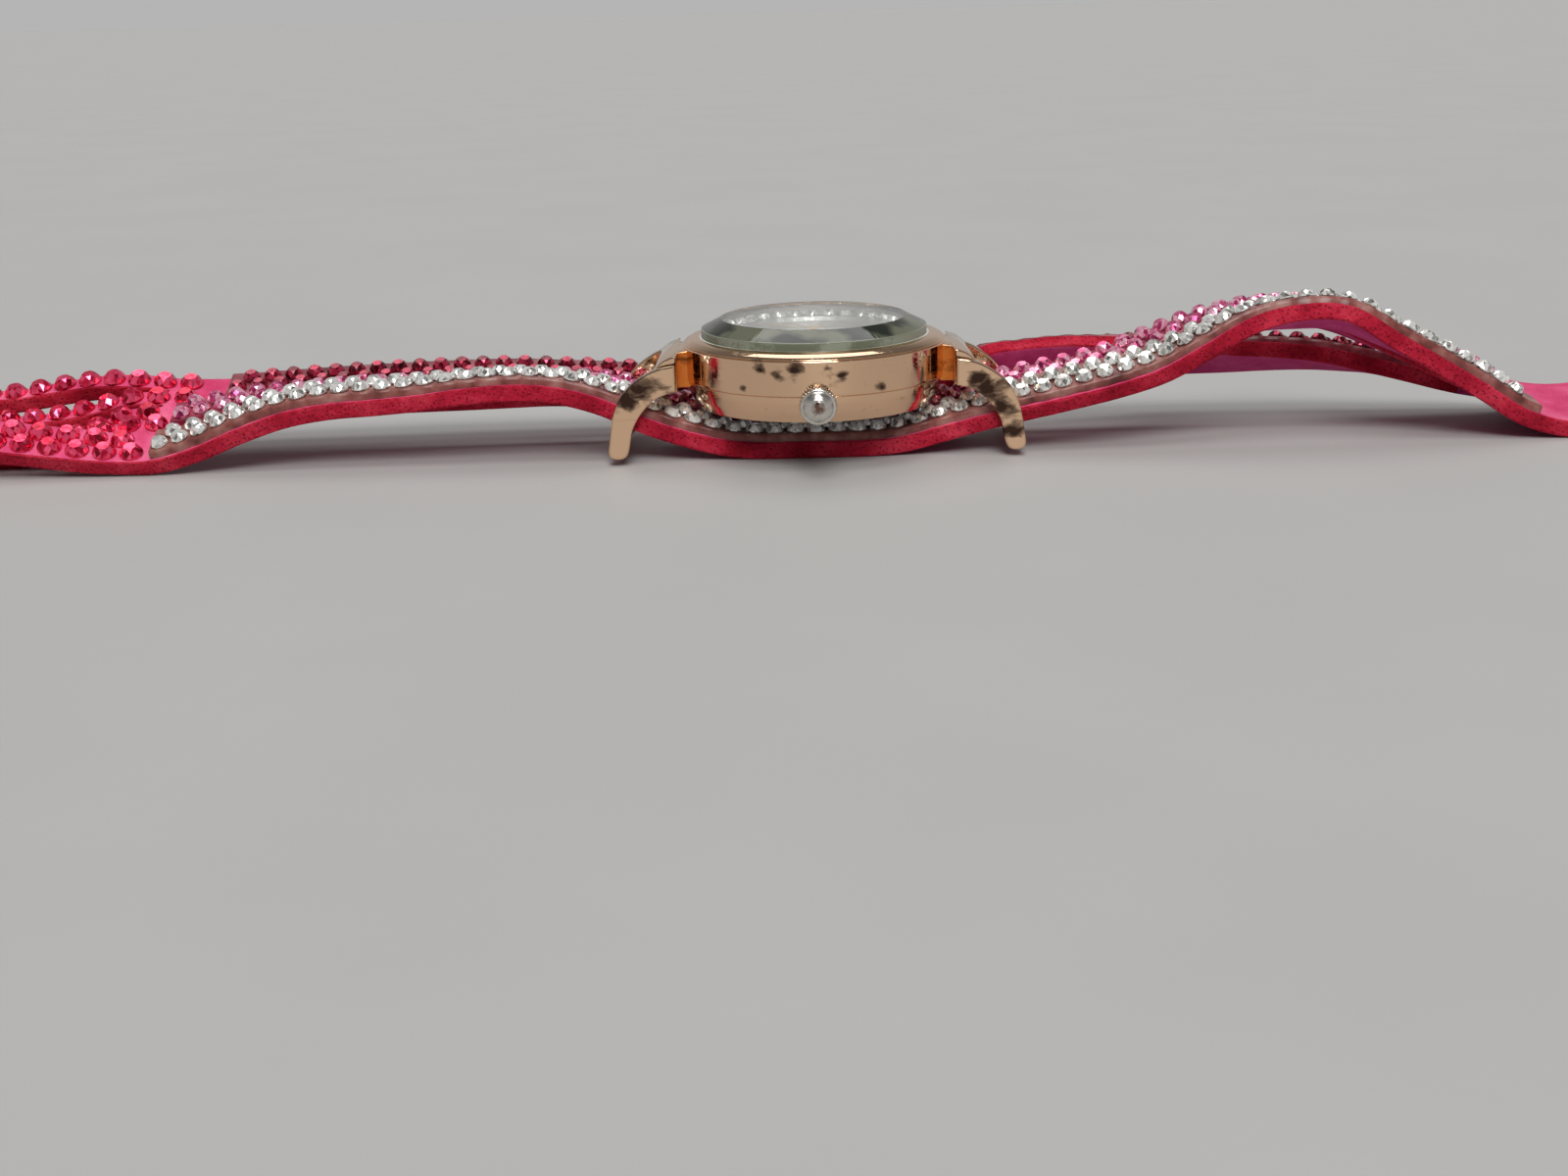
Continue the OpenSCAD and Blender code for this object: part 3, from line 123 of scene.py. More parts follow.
shift_edge = [
    0, 0, 0, 0, 0, 0, 0, 0, -0.02, -0.03, -0.06, -0.09, -0.11, -0.15, -0.18, -0.21, -0.25, -0.29,
    -0.35, -0.44, -0.51, -0.66, -1.2, -1.1, -0.61, -0.17, 0.05, 0.26, 0.51, 0.79, 1.05, 1.34, 1.67,
    2.02, 2.24, 2.28, 2.14, 2, 1.95, 1.95, 1.94, 1.52, 0.46, 0.07, 0.07, 0.21, 0.51, 0.67, 0.66, 0.5,
    0.32, 0.12, 0, -0.04, -0.1, -0.05, -0.03, -0.05, -0.07, -0.09, -0.11, -0.12, -0.12, -0.1, -0.09,
    -0.07, -0.05, -0.03, -0.02, -0.01, 0, 0, 0, 0, 0, 0, 0,]
shift_near = [0] * len(z_near)
# strand 0 is the near one and strand 3 the outermost far one
STRANDS = [(z_near, tilt_near, shift_near), (z_mid, tilt_mid, shift_mid),
           (z_far, tilt_far, shift_far), (z_edge, tilt_edge, shift_edge)]
STRAND_W, SLIT = np.array([5.6, 5.0, 2.8, 2.85]), 0.25
# near edges of the strands, counted across the strap from its own near edge at STRAP_Y
STRAND_AT = np.array([0, 5.85, 11.1, 14.15])
STRAP_W, STRAP_T, HALF_LEN = 17.0, 1.9, 190.0
STRAP_Y = -5.45
# between these places strands 2 and 3 are one piece
JOINED = (-76.8, 82.8)
# where the slits are open along x: all three near the ends, the two nearer ones in the middle
LEFT_CUT, MID_CUT, RIGHT_CUT, FIRST_CUT_END = (-156, -76.8), (-69.6, 76.8), (92.4, 156), -79.2


def follow(values, x):
    """Smooth curve through one list: a Catmull-Rom spline whose knots stand 5 mm apart."""
    v = np.asarray(values, float)
    t = (np.asarray(x, float) + HALF_LEN) / 5
    i = np.clip(np.floor(t), 0, len(v) - 2).astype(int)
    u = t - i
    a, b, c, d = v[np.maximum(i - 1, 0)], v[i], v[i + 1], v[np.minimum(i + 2, len(v) - 1)]
    return b + 0.5 * u * ((c - a) + u * ((2 * a - 5 * b + 4 * c - d) + u * (3 * (b - c) + d - a)))


def strand_base(s, x):
    """Near lower edge of strand s: x along, side place plus shift across, height never below 0."""
    height, _, shift = STRANDS[s]
    return np.stack([x, STRAP_Y + STRAND_AT[s] + follow(shift, x), np.maximum(0, follow(height, x))], -1)


def strand_axes(s, x):
    """Across direction from the lean angle, and the outward normal: tangent times across."""
    a = np.radians(follow(STRANDS[s][1], x))
    across = np.stack([0 * a, np.cos(a), np.sin(a)], -1)
    up = np.cross(strand_base(s, x + 0.4) - strand_base(s, x - 0.4), across)
    return across, up / np.linalg.norm(up, axis=-1, keepdims=True)


def on_strand(s, x, u, v):
    """Point of strand s: base + across * u + normal * v. In the middle of the strap the outermost
    strand is one piece with its neighbour and follows that one's frame."""
    x, u, v = np.broadcast_arrays(*(np.asarray(q, float) for q in (x, u, v)))
    across, up = strand_axes(s, x)
    p = strand_base(s, x) + across * u[..., None] + up * v[..., None]
    if s == 3:
        mid = (x > JOINED[0]) & (x < JOINED[1])
        across, up = strand_axes(2, x)
        q = strand_base(2, x) + across * (u + STRAND_W[2] + SLIT)[..., None] + up * v[..., None]
        p = np.where(mid[..., None], q, p)
    return p


def add_piece(name, points, faces, finishes, face_finish=None, smooth=True, crease=None):
    """Puts points (mm) and faces into a mesh in metres, with its materials."""
    mesh = bpy.data.meshes.new(name)
    mesh.from_pydata((np.asarray(points, float) / 1000).tolist(), [], faces)
    for f in finishes:
        mesh.materials.append(f)
    if face_finish is not None:
        mesh.polygons.foreach_set("material_index", np.asarray(face_finish, np.int32))
    # end faces of many corners stay flat
    mesh.polygons.foreach_set("use_smooth", [smooth and len(f) < 5 for f in faces])
    if crease is not None:
        mesh.set_sharp_from_angle(angle=math.radians(crease))
    mesh.update()
    piece = bpy.data.objects.new(name, mesh)
    bpy.context.scene.collection.objects.link(piece)
    return piece


def dress(piece, name, body="case_and_strap"):
    """The piece rides on its body and stands for the named node, which is hidden."""
    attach(piece, body)
    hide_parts(name)


def soft_noise(shape, cells, seed):
    """Smooth noise in -1 to 1 on a grid: random knots, cells apart, joined by cosine steps."""
    knots = np.random.default_rng(seed).uniform(-1, 1, tuple(n // c + 3 for n, c in zip(shape, cells)))
    for axis, (n, c) in enumerate(zip(shape, cells)):
        t = np.arange(n) / c
        i = t.astype(int)
        w = (1 - np.cos(np.pi * (t - i))) / 2
        w = w.reshape([-1 if k == axis else 1 for k in range(len(shape))])
        knots = np.take(knots, i, axis) * (1 - w) + np.take(knots, i + 1, axis) * w
    return knots


def cut_open(k, x):
    """Whether slit k is open at x."""
    left_end = FIRST_CUT_END if k == 0 else LEFT_CUT[1]
    outer = ((x > LEFT_CUT[0]) & (x < left_end)) | ((x > RIGHT_CUT[0]) & (x < RIGHT_CUT[1]))
    return outer | ((k < 2) & (x > MID_CUT[0]) & (x < MID_CUT[1]))


def strap_mesh():
    """Closed grid: for each station along x, eight strand borders with eight levels each, and inner
    columns on the top and the underside. An open slit leaves its cells out and gets walls."""
    step, corner, apart, cols = 0.8, 4.0, 0.3, 9
    ends = [side * (HALF_LEN - e) for side in (-1, 1) for e in (0.1, 0.4, 1.2)]
    x = np.concatenate([np.arange(-HALF_LEN, HALF_LEN + 0.01, step), [JOINED[0]], ends])
    x = np.unique(np.round(x, 3))
    n = len(x)
    mid = (x[1:] + x[:-1]) / 2
    is_open = np.array([cut_open(k, mid) for k in range(3)])
    d = np.maximum(0, np.abs(x) - (HALF_LEN - corner))
    inset = corner - np.sqrt(np.maximum(0, corner ** 2 - d ** 2))
    # border places across, kept in order round the end corners
    side_u = np.zeros((8, n))
    for j in range(8):
        s = j // 2
        u = 0 if j % 2 == 0 else STRAND_W[s]
        least = inset - STRAND_AT[s] + apart * j
        most = STRAP_W - inset - STRAND_AT[s] - apart * (7 - j)
        side_u[j] = np.maximum(least, np.minimum(most, u))
    # rounding of a border fades out where its slit ends
    fade = np.ones((8, n))
    for k in range(3):
        near_open = np.zeros(n)
        near_open[:-1] += is_open[k]
        near_open[1:] += is_open[k]
        whole = (near_open == 2).astype(float)
        fade[2 * k + 1] = fade[2 * k + 2] = np.convolve(whole, np.ones(3) / 3, "same") * whole
    levels = np.array([0, 0.07, 0.2, 0.4, 0.6, 0.8, 0.93, 1.0]) * STRAP_T
    nl = len(levels)
    r = 0.2
    near_face = np.minimum(levels, STRAP_T - levels)
    tuck = np.where(near_face < r, r - np.sqrt(np.maximum(0, r * r - (r - near_face) ** 2)), 0)
    border = np.zeros((n, 8, nl, 3))
    for j in range(8):
        s = j // 2
        out = -1 if j % 2 == 0 else 1
        pits = 0.05 * soft_noise((n, nl), (2, 1), 40 + j) + 0.03 * soft_noise((n, nl), (1, 1), 60 + j)
        lean = fade[j][:, None] * (pits * np.where((levels > 0) & (levels < STRAP_T), 1, 0.3) - tuck)
        u = side_u[j][:, None] + out * lean
        border[:, j] = on_strand(s, x[:, None], u, levels[None])
    share = np.linspace(0, 1, cols + 1)[1:-1]
    nap_top = 0.022 * soft_noise((n, 4 * (cols - 1)), (3, 2), 7)
    inner = np.zeros((n, 4, cols - 1, 2, 3))
    for s in range(4):
        a, b = side_u[2 * s] + r * fade[2 * s], side_u[2 * s + 1] - r * fade[2 * s + 1]
        u = a[:, None] + (b - a)[:, None] * share
        nap = nap_top[:, s * (cols - 1):(s + 1) * (cols - 1)]
        inner[:, s, :, 0] = on_strand(s, x[:, None], u, 0 * u)
        inner[:, s, :, 1] = on_strand(s, x[:, None], u, STRAP_T + nap)
    points = np.concatenate([border.reshape(-1, 3), inner.reshape(-1, 3)])
    points[:, 2] = np.maximum(points[:, 2], 0)
    b_id = np.arange(border[..., 0].size).reshape(n, 8, nl)
    i_id = b_id.size + np.arange(inner[..., 0].size).reshape(n, 4, cols - 1, 2)
    faces, finish = [], []

    def strip_of(a, b, keep, kind):
        """Quads between two rows of point numbers a and b, for the kept intervals."""
        q = np.stack([a[:-1], a[1:], b[1:], b[:-1]], -1)[keep]
        faces.append(q)
        finish.append(np.full(len(q), kind))

    always = np.ones(n - 1, bool)
    for s in range(4):
        for face, kind in ((1, 0), (0, 2)):
            row = np.concatenate([b_id[:, 2 * s, -1 if face else 0][:, None], i_id[:, s, :, face],
                                  b_id[:, 2 * s + 1, -1 if face else 0][:, None]], 1)
            for c in range(cols):
                a, b = (row[:, c], row[:, c + 1]) if face else (row[:, c + 1], row[:, c])
                strip_of(a, b, always, kind)
    for j in range(8):
        keep = always if j in (0, 7) else is_open[(j - 1) // 2]
        for l in range(nl - 1):
            a, b = b_id[:, j, l], b_id[:, j, l + 1]
            if j % 2 == 1:
                a, b = b, a
            strip_of(a, b, keep, 1)
    for k in range(3):
        ja, jb = 2 * k + 1, 2 * k + 2
        strip_of(b_id[:, ja, -1], b_id[:, jb, -1], ~is_open[k], 0)
        strip_of(b_id[:, jb, 0], b_id[:, ja, 0], ~is_open[k], 2)
        for i in range(1, n - 1):
            if is_open[k][i - 1] != is_open[k][i]:
                a, b = b_id[i, ja], b_id[i, jb]
                q = np.stack([a[:-1], b[:-1], b[1:], a[1:]], -1)
                faces.append(q if is_open[k][i] else q[:, ::-1])
                finish.append(np.full(nl - 1, 1))
    quads = np.concatenate(faces)
    kinds = np.concatenate(finish).tolist()
    everything = quads.tolist()
    for i in (0, n - 1):
        low = [b_id[i, 0, 0]]
        top = [b_id[i, 0, -1]]
        for s in range(4):
            if s:
                low.append(b_id[i, 2 * s, 0]); top.append(b_id[i, 2 * s, -1])
            low += list(i_id[i, s, :, 0]) + [b_id[i, 2 * s + 1, 0]]
            top += list(i_id[i, s, :, 1]) + [b_id[i, 2 * s + 1, -1]]
        ring = low + list(b_id[i, 7, 1:-1]) + top[::-1] + list(b_id[i, 0, 1:-1][::-1])
        everything.append([int(v) for v in (ring[::-1] if i == 0 else ring)])
        kinds.append(1)
    return points, everything, kinds


def feed(tree, made, **inputs):
    """Gives a node its inputs: a socket is linked, any other value is set. The keys i0, i1 and i2
    stand for inputs by number, the others are their names with _ for a space."""
    for key, value in inputs.items():
        port = made.inputs[int(key[1:])] if key[1:].isdigit() else made.inputs[key.replace("_", " ")]
        if isinstance(value, bpy.types.NodeSocket):
            tree.links.new(value, port)
        else:
            port.default_value = value


def node(tree, kind, props=None, **inputs):
    """Adds a shader node with its settings and inputs."""
    made = tree.nodes.new("ShaderNode" + kind)
    for key, value in (props or {}).items():
        setattr(made, key, value)
    feed(tree, made, **inputs)
    return made


def numbered(values):
    """The values under the keys i0, i1 and so on."""
    return {"i%d" % k: value for k, value in enumerate(values)}


def calc(tree, operation, *values):
    """Result of a Math node on sockets or numbers."""
    return node(tree, "Math", {"operation": operation}, **numbered(values)).outputs[0]


def scaled(tree, value, factor, plus):
    """value * factor + plus."""
    return calc(tree, "MULTIPLY_ADD", value, factor, plus)


def measure(tree, operation, *vectors):
    """Number that a VectorMath node gives: a length, a distance or a dot product."""
    return node(tree, "VectorMath", {"operation": operation}, **numbered(vectors)).outputs["Value"]


def blend(tree, share, first, second):
    """The first colour where share is 0, the second where it is 1."""
    return node(tree, "MixRGB", i0=share, i1=first, i2=second).outputs[0]


def relief(tree, strength, distance, height):
    """Surface normal bent by a height."""
    return node(tree, "Bump", Strength=strength, Distance=distance, Height=height).outputs[0]


def noise(tree, place, **inputs):
    """Soft noise between 0 and 1 at a place."""
    return node(tree, "TexNoise", Vector=place, **inputs).outputs[0]


def line_noise(tree, value, **inputs):
    """Noise that changes with one number only."""
    return node(tree, "TexNoise", {"noise_dimensions": "1D"}, W=value, **inputs).outputs[0]


def ramp(tree, fac, *stops):
    """Colour ramp through (place, colour) stops."""
    made = tree.nodes.new("ShaderNodeValToRGB")
    bar = made.color_ramp
    while len(bar.elements) < len(stops):
        bar.elements.new(0.5)
    for e, (at, colour) in zip(bar.elements, stops):
        e.position, e.color = at, (*colour, 1) if len(colour) == 3 else (colour[0],) * 3 + (1,)
    tree.links.new(fac, made.inputs[0])
    return made.outputs[0]


def finish_of(name):
    """A new material: its tree, its Principled shader and the object coordinates."""
    made = bpy.data.materials.new(name)
    made.use_nodes = True
    tree = made.node_tree
    return made, tree, tree.nodes["Principled BSDF"], tree.nodes.new("ShaderNodeTexCoord").outputs["Object"]


def effect(name, ins, outs):
    """A shader node group whose one vector input is the place, then number inputs and outputs."""
    tree = bpy.data.node_groups.new(name, "ShaderNodeTree")
    tree.interface.new_socket(name="Place", in_out="INPUT", socket_type="NodeSocketVector")
    for labels, way in ((ins, "INPUT"), (outs, "OUTPUT")):
        for label in labels:
            tree.interface.new_socket(name=label, in_out=way, socket_type="NodeSocketFloat")
    return tree, tree.nodes.new("NodeGroupInput").outputs, tree.nodes.new("NodeGroupOutput")


def use(tree, group, **inputs):
    """Places a group in a material and returns its outputs."""
    return node(tree, "Group", {"node_tree": group}, **inputs).outputs


# Nap of the suede: short fibres brushed into darker and lighter patches. Density is fibres per metre.
nap, nap_in, nap_out = effect("suede nap", ["Density"], ["Brushed", "Fibres"])
patch = noise(nap, nap_in["Place"], Scale=160, Detail=3, Roughness=0.6)
fibre = noise(nap, nap_in["Place"], Scale=nap_in["Density"], Detail=4, Roughness=0.75)
mixed = scaled(nap, fibre, 0.55, patch)
nap.links.new(scaled(nap, mixed, 1.0, -0.275), nap_out.inputs[0])
nap.links.new(fibre, nap_out.inputs[1])


def suede_finish(name, dark, mid, pale, sheen):
    """Brushed fibres tint the colour and lift the surface; sheen lights them at the rim."""
    made, tree, shader, place = finish_of(name)
    brushed = use(tree, nap, Place=place, Density=5200)
    tint = ramp(tree, brushed["Brushed"], (0.3, dark), (0.5, mid), (0.72, pale))
    bump = relief(tree, 0.9, 6e-5, brushed["Fibres"])
    feed(tree, shader, Base_Color=tint, Roughness=0.95, Normal=bump, Specular_IOR_Level=0.15,
         Sheen_Weight=sheen, Sheen_Roughness=0.45, Sheen_Tint=(*pale, 1))
    return made


suede_face = suede_finish("suede_face", (0.58, 0.04, 0.13), (0.74, 0.09, 0.22), (0.86, 0.20, 0.34), 0.4)
suede_under = suede_finish("suede_underside", (0.40, 0.025, 0.12), (0.56, 0.045, 0.19), (0.70, 0.10, 0.28),
                           0.3)

# cut edge: darker, with open pits between the fibre bundles; the pits are painted near black as painted shade
# in them
suede_cut, tree, shader, place = finish_of("suede_cut_edge")
brushed = use(tree, nap, Place=place, Density=4200)
pit = node(tree, "TexVoronoi", {"feature": "F1"}, Vector=place, Scale=2300).outputs["Distance"]
hole = ramp(tree, pit, (0.0, (0,)), (0.42, (1,)))
body_tint = ramp(tree, brushed["Brushed"], (0.32, (0.28, 0.006, 0.018)), (0.5, (0.47, 0.014, 0.038)),
                 (0.7, (0.64, 0.045, 0.08)))
# painted shade: the pits darken towards near black
tint_with_pit_shade = blend(tree, hole, (0.12, 0.003, 0.012, 1), body_tint)
lift = calc(tree, "ADD", hole, brushed["Fibres"])
bump = relief(tree, 1.0, 9e-5, lift)
feed(tree, shader, Base_Color=tint_with_pit_shade, Roughness=0.95, Normal=bump, Specular_IOR_Level=0.12,
     Sheen_Weight=0.06, Sheen_Roughness=0.5, Sheen_Tint=(0.9, 0.2, 0.4, 1))

points, faces, kinds = strap_mesh()
used = np.unique(np.concatenate([np.asarray(f) for f in faces]))
renumber = np.full(len(points), -1)
renumber[used] = np.arange(len(used))
faces = [[int(renumber[v]) for v in f] for f in faces]
strap = add_piece("suede_strap", points[used], faces, [suede_face, suede_cut, suede_under], kinds, crease=55)
dress(strap, "strap")

# Clear strips
# Three narrow strips of clear resin, glued to the strands, hold the rows of small stones. Their
# edges are scalloped round each stone and show the tan glue under them.
STRIP_T, STRIP_SEAT, MARGIN, SCALLOP = 0.9, 0.03, 0.4, 0.06
# strand, both ends along x, and the width of suede under the strip
STRIPS = {"crystal": (0, -75.6, 81.6, 5.6), "pink": (1, -74.4, 80.4, 5.0), "garnet": (2, -69.6, 79.2, 5.9)}
# small stones: steps along a row, distance between two rows, and the line of glue under them
STONE_D, STONE_H, PITCH, GARNET_PITCH, ROW_GAP, GLUE = 2.1, 0.85, 2.4, 2.5, 2.0, 0.07
STRIP_TOP = STRAP_T + STRIP_SEAT + STRIP_T + GLUE


def pace(s, x, u, v):
    """Length of surface line passed for 1 mm along x."""
    return np.linalg.norm(on_strand(s, x + 0.5, u, v) - on_strand(s, x - 0.5, u, v))


def stones_along(s, ua, ub, v, xa, xb, pitch):
    """Positions along the strand for two rows, each step one pitch in the shorter of them."""
    x, found = xa, []
    step = pitch if xb > xa else -pitch
    while step * (xb - x) >= -1e-9:
        found.append(x)
        x += step / min(pace(s, x + step / 2, ua, v), pace(s, x + step / 2, ub, v))
    return np.array(found)


def halfway(x):
    """Places between neighbours, for the row that stands half a step on."""
    return (x[1:] + x[:-1]) / 2


def strip_rows(kind):
    """Positions of the near and the far row of one strip."""
    s, xa, xb, w = STRIPS[kind]
    m, g, end = w / 2, ROW_GAP / 2, 0.2 + STONE_D / 2
    pitch = GARNET_PITCH if kind == "garnet" else PITCH
    x = stones_along(s, m - g, m + g, STRIP_TOP, xa + end, xb - end, pitch)
    return x, halfway(x)


def tube_faces(n, m):
    """Quads of n rings of m points each, in order, and the two end polygons."""
    i, j = np.meshgrid(np.arange(n - 1), np.arange(m), indexing="ij")
    a, b = i * m + j, i * m + (j + 1) % m
    quads = np.stack([a, b, b + m, a + m], -1).reshape(-1, 4).tolist()
    return quads + [list(range(m))[::-1], list(range((n - 1) * m, n * m))]


def strip_mesh(kind):
    """A flat bar carried along the strand: its profile has eased upper shoulders, and its sides
    wave in and out by about a tenth of a millimetre with the stones of their row."""
    s, xa, xb, w = STRIPS[kind]
    near, far = strip_rows(kind)
    x = np.unique(np.concatenate([np.arange(xa, xb, 0.4), [xb]]))
    low, high = STRAP_T + STRIP_SEAT, STRAP_T + STRIP_SEAT + STRIP_T
    rise = np.array([0, 0, 0.45, 0.8, 0.95, 1.0, 1.0, 1.0, 0.95, 0.8, 0.45, 0])
    across = np.array([0, 1, 1, 0.99, 0.965, 0.92, 0.5, 0.08, 0.035, 0.01, 0, 0])

    def wave(row):
        return np.cos(np.interp(x, row, np.arange(len(row)) * 2 * np.pi))
    u0 = MARGIN + SCALLOP - SCALLOP * wave(near)
    u1 = w - MARGIN - SCALLOP + SCALLOP * wave(far)
    u = u0[:, None] + (u1 - u0)[:, None] * across
    sag = 0.05 * (1 - wave(near))[:, None] * (np.abs(across - 0.5) < 0.2)
    v = low + (high - low) * rise - sag
    return on_strand(s, x[:, None], u, v).reshape(-1, 3), tube_faces(len(x), len(across))


def resin_finish(name, glue, pale, deep):
    """Clear resin over glue: the glue shows through in darker and paler blotches."""
    made, tree, shader, place = finish_of(name)
    slow = noise(tree, place, Scale=420, Detail=3, Roughness=0.6)
    tint = ramp(tree, slow, (0.32, deep), (0.5, glue), (0.72, pale))
    fine = noise(tree, place, Scale=1500, Detail=2)
    bump = relief(tree, 0.3, 5e-5, fine)
    feed(tree, shader, Base_Color=tint, Roughness=0.3, Normal=bump, Transmission_Weight=0.2, IOR=1.4)
    return made


RESINS = {"crystal": ("strip_clear", (0.30, 0.09, 0.075), (0.48, 0.24, 0.20), (0.14, 0.035, 0.03)),
          "pink": ("strip_pink", (0.42, 0.05, 0.10), (0.58, 0.18, 0.24), (0.22, 0.015, 0.04)),
          "garnet": ("strip_garnet", (0.28, 0.04, 0.055), (0.44, 0.15, 0.17), (0.14, 0.01, 0.02))}
for kind, (slot, glue, pale, deep) in RESINS.items():
    points, faces = strip_mesh(kind)
    resin = resin_finish(kind + "_resin", glue, pale, deep)
    strip = add_piece(kind + "_strip", points, faces, [resin], crease=50)
    dress(strip, kind + "_carrier")

# Stones
# Machine-cut flat-back glass stones with foil behind. Each is a table, eight stars, eight kites and
# sixteen girdle facets. The small ones sit in the strips, the larger fuchsia ones on the suede.
OUTER_D, OUTER_H, OUTER_PITCH, OUTER_GAP = 2.7, 1.1, 3.1, 2.35
OUTER_TOP = STRAP_T + GLUE


def cut_stone():
    """Rings round the axis: 16 points at the back, 16 at the girdle, 8 between the kites, 8 at the
    table. Radius and height are counted in stone radii and heights. Last come the faces."""
    ring = np.arange(16) * np.pi / 8

    def circle(angles, r, z):
        return np.stack([r * np.cos(angles), r * np.sin(angles), z + 0 * angles], -1)
    points = np.concatenate([circle(ring, 0.97, 0), circle(ring, 1, 0.2), circle(ring[1::2], 0.80, 0.68),
                             circle(ring[::2], 0.54, 1.0)])
    back, girdle, kite, table = 0, 16, 32, 40
    faces = [list(range(15, -1, -1)), list(range(table, table + 8))]
    for k in range(16):
        n = (k + 1) % 16
        faces.append([back + k, back + n, girdle + n, girdle + k])
    for k in range(8):
        n, p = (k + 1) % 8, (k - 1) % 8
        faces.append([table + k, kite + k, table + n])
        faces.append([table + k, kite + p, girdle + 2 * k, kite + k])
        faces.append([kite + k, girdle + 2 * k, girdle + 2 * k + 1])
        faces.append([kite + k, girdle + 2 * k + 1, girdle + (2 * k + 2) % 16])
    return points, faces


def set_stones(name, seats, d, h, finish, seed, stands_for):
    """Copies of the cut stone, each turned about its own axis and tipped by less than three degrees,
    on seats = (origin, along, across, up) rows. Every facet keeps a random glint value, for its painted
    reflection."""
    rng = np.random.default_rng(seed)
    shape, faces = cut_stone()
    origin, along, across, up = seats
    n = len(origin)
    spin = rng.uniform(0, 2 * np.pi, n)
    tip = rng.uniform(-0.03, 0.03, (n, 2))
    up = up + along * tip[:, :1] + across * tip[:, 1:]
    up /= np.linalg.norm(up, axis=1, keepdims=True)
    a = along * np.cos(spin)[:, None] + across * np.sin(spin)[:, None]
    a -= up * (a * up).sum(1, keepdims=True)
    a /= np.linalg.norm(a, axis=1, keepdims=True)
    b = np.cross(up, a)
    local = shape * [d / 2, d / 2, h]
    points = origin[:, None] + local[None, :, :1] * a[:, None] + local[None, :, 1:2] * b[:, None] \
        + local[None, :, 2:] * up[:, None]
    every = [[v + k * len(shape) for v in f] for k in range(n) for f in faces]
    made = add_piece(name, points.reshape(-1, 3), every, [finish], smooth=False)
    glint = rng.uniform(0, 1, (n, len(faces)))
    glint[:, 1] = rng.uniform(0.25, 0.7, n)
    layer = made.data.attributes.new("glint", "FLOAT", "FACE")
    layer.data.foreach_set("value", glint.reshape(-1))
    stone = np.repeat(rng.uniform(0, 1, n), len(faces))
    layer = made.data.attributes.new("stone", "FLOAT", "FACE")
    layer.data.foreach_set("value", stone)
    dress(made, stands_for)


def strand_seats(s, x, u, v):
    """Origins and axes on a strand: along the strap, across it and up from it."""
    x = np.atleast_1d(x)
    across, up = strand_axes(s, x)
    if s == 3:
        mid = ((x > JOINED[0]) & (x < JOINED[1]))[:, None]
        a2, u2 = strand_axes(2, x)
        across, up = np.where(mid, a2, across), np.where(mid, u2, up)
    return on_strand(s, x, u, v), np.cross(across, up), across, up


def foil_stone(name, dark, body, bright, mirror, flash=None):
    """Cut glass over foil. Each facet's glint paints how much light the foil seems to return in it, and small
    cells vary it; a clear coat gives the outer reflection. With flash, some facets are painted the violet
    glint of a coated stone."""
    made, tree, shader, place = finish_of(name)
    glint = node(tree, "Attribute", {"attribute_name": "glint"}).outputs["Fac"]
    stone = node(tree, "Attribute", {"attribute_name": "stone"}).outputs["Fac"]
    painted_inner_glints = node(tree, "TexVoronoi", {"feature": "F1"}, Vector=place, Scale=2600).outputs["Color"]
    shift = node(tree, "SeparateColor", i0=painted_inner_glints).outputs[0]
    # painted reflection: glint and cells set each facet's brightness
    light = scaled(tree, shift, 0.4, glint)
    tint = ramp(tree, light, (0.15, dark), (0.55, body), (0.95, bright))
    if flash:
        spark = scaled(tree, stone, 0.25, glint)
        share = ramp(tree, spark, (1.12, (0,)), (1.16, (1,)))
        tint = blend(tree, share, tint, (*flash, 1))
    feed(tree, shader, Base_Color=tint, Roughness=0.07, Metallic=mirror, Specular_IOR_Level=0.3,
         Coat_Weight=0.12, Coat_Roughness=0.03, Coat_IOR=1.5)
    return made


crystal_glass = foil_stone("crystal", (0.16, 0.15, 0.14), (0.66, 0.64, 0.60), (1.0, 0.99, 0.96), 0.5)
pink_glass = foil_stone("pink_crystal", (0.20, 0.01, 0.06), (0.66, 0.06, 0.22), (1.0, 0.55, 0.68), 0.5)
garnet_glass = foil_stone("garnet_crystal", (0.03, 0.0005, 0.003), (0.15, 0.003, 0.014), (0.50, 0.03, 0.08),
                          0.5)
fuchsia_glass = foil_stone("fuchsia_crystal", (0.20, 0.0005, 0.010), (0.72, 0.006, 0.055), (1.0, 0.10, 0.22),
                           0.6, flash=(0.62, 0.10, 0.85))
SMALL = {"crystal": crystal_glass, "pink": pink_glass, "garnet": garnet_glass}
for index, (kind, glass) in enumerate(SMALL.items()):
    s, xa, xb, w = STRIPS[kind]
    slot = kind if kind == "crystal" else kind + "_crystal"
    for far, (row, x) in enumerate(zip(("near", "far"), strip_rows(kind))):
        name = "%s_stones_%s" % (kind, row)
        seats = strand_seats(s, x, w / 2 + (far - 0.5) * ROW_GAP, STRIP_TOP)
        seed = 100 + 2 * index + far
        set_stones(name + "_cut", seats, STONE_D, STONE_H, glass, seed, name)


def outer_seats(starts, xb):
    """Two staggered rows on each of the wide strands and one row on each narrow one, from the
    places x near the strips to the place xb near the strap end."""
    found = []
    for s in (0, 1):
        m, g = STRAND_W[s] / 2, OUTER_GAP / 2
        x = stones_along(s, m - g, m + g, OUTER_TOP, starts[s], xb, OUTER_PITCH)
        found += [strand_seats(s, x, m - g, OUTER_TOP), strand_seats(s, halfway(x), m + g, OUTER_TOP)]
    for s in (2, 3):
        m = STRAND_W[s] / 2
        x = stones_along(s, m, m, OUTER_TOP, starts[s], xb, OUTER_PITCH)
        found.append(strand_seats(s, x, m, OUTER_TOP))
    return [np.concatenate(part) for part in zip(*found)]


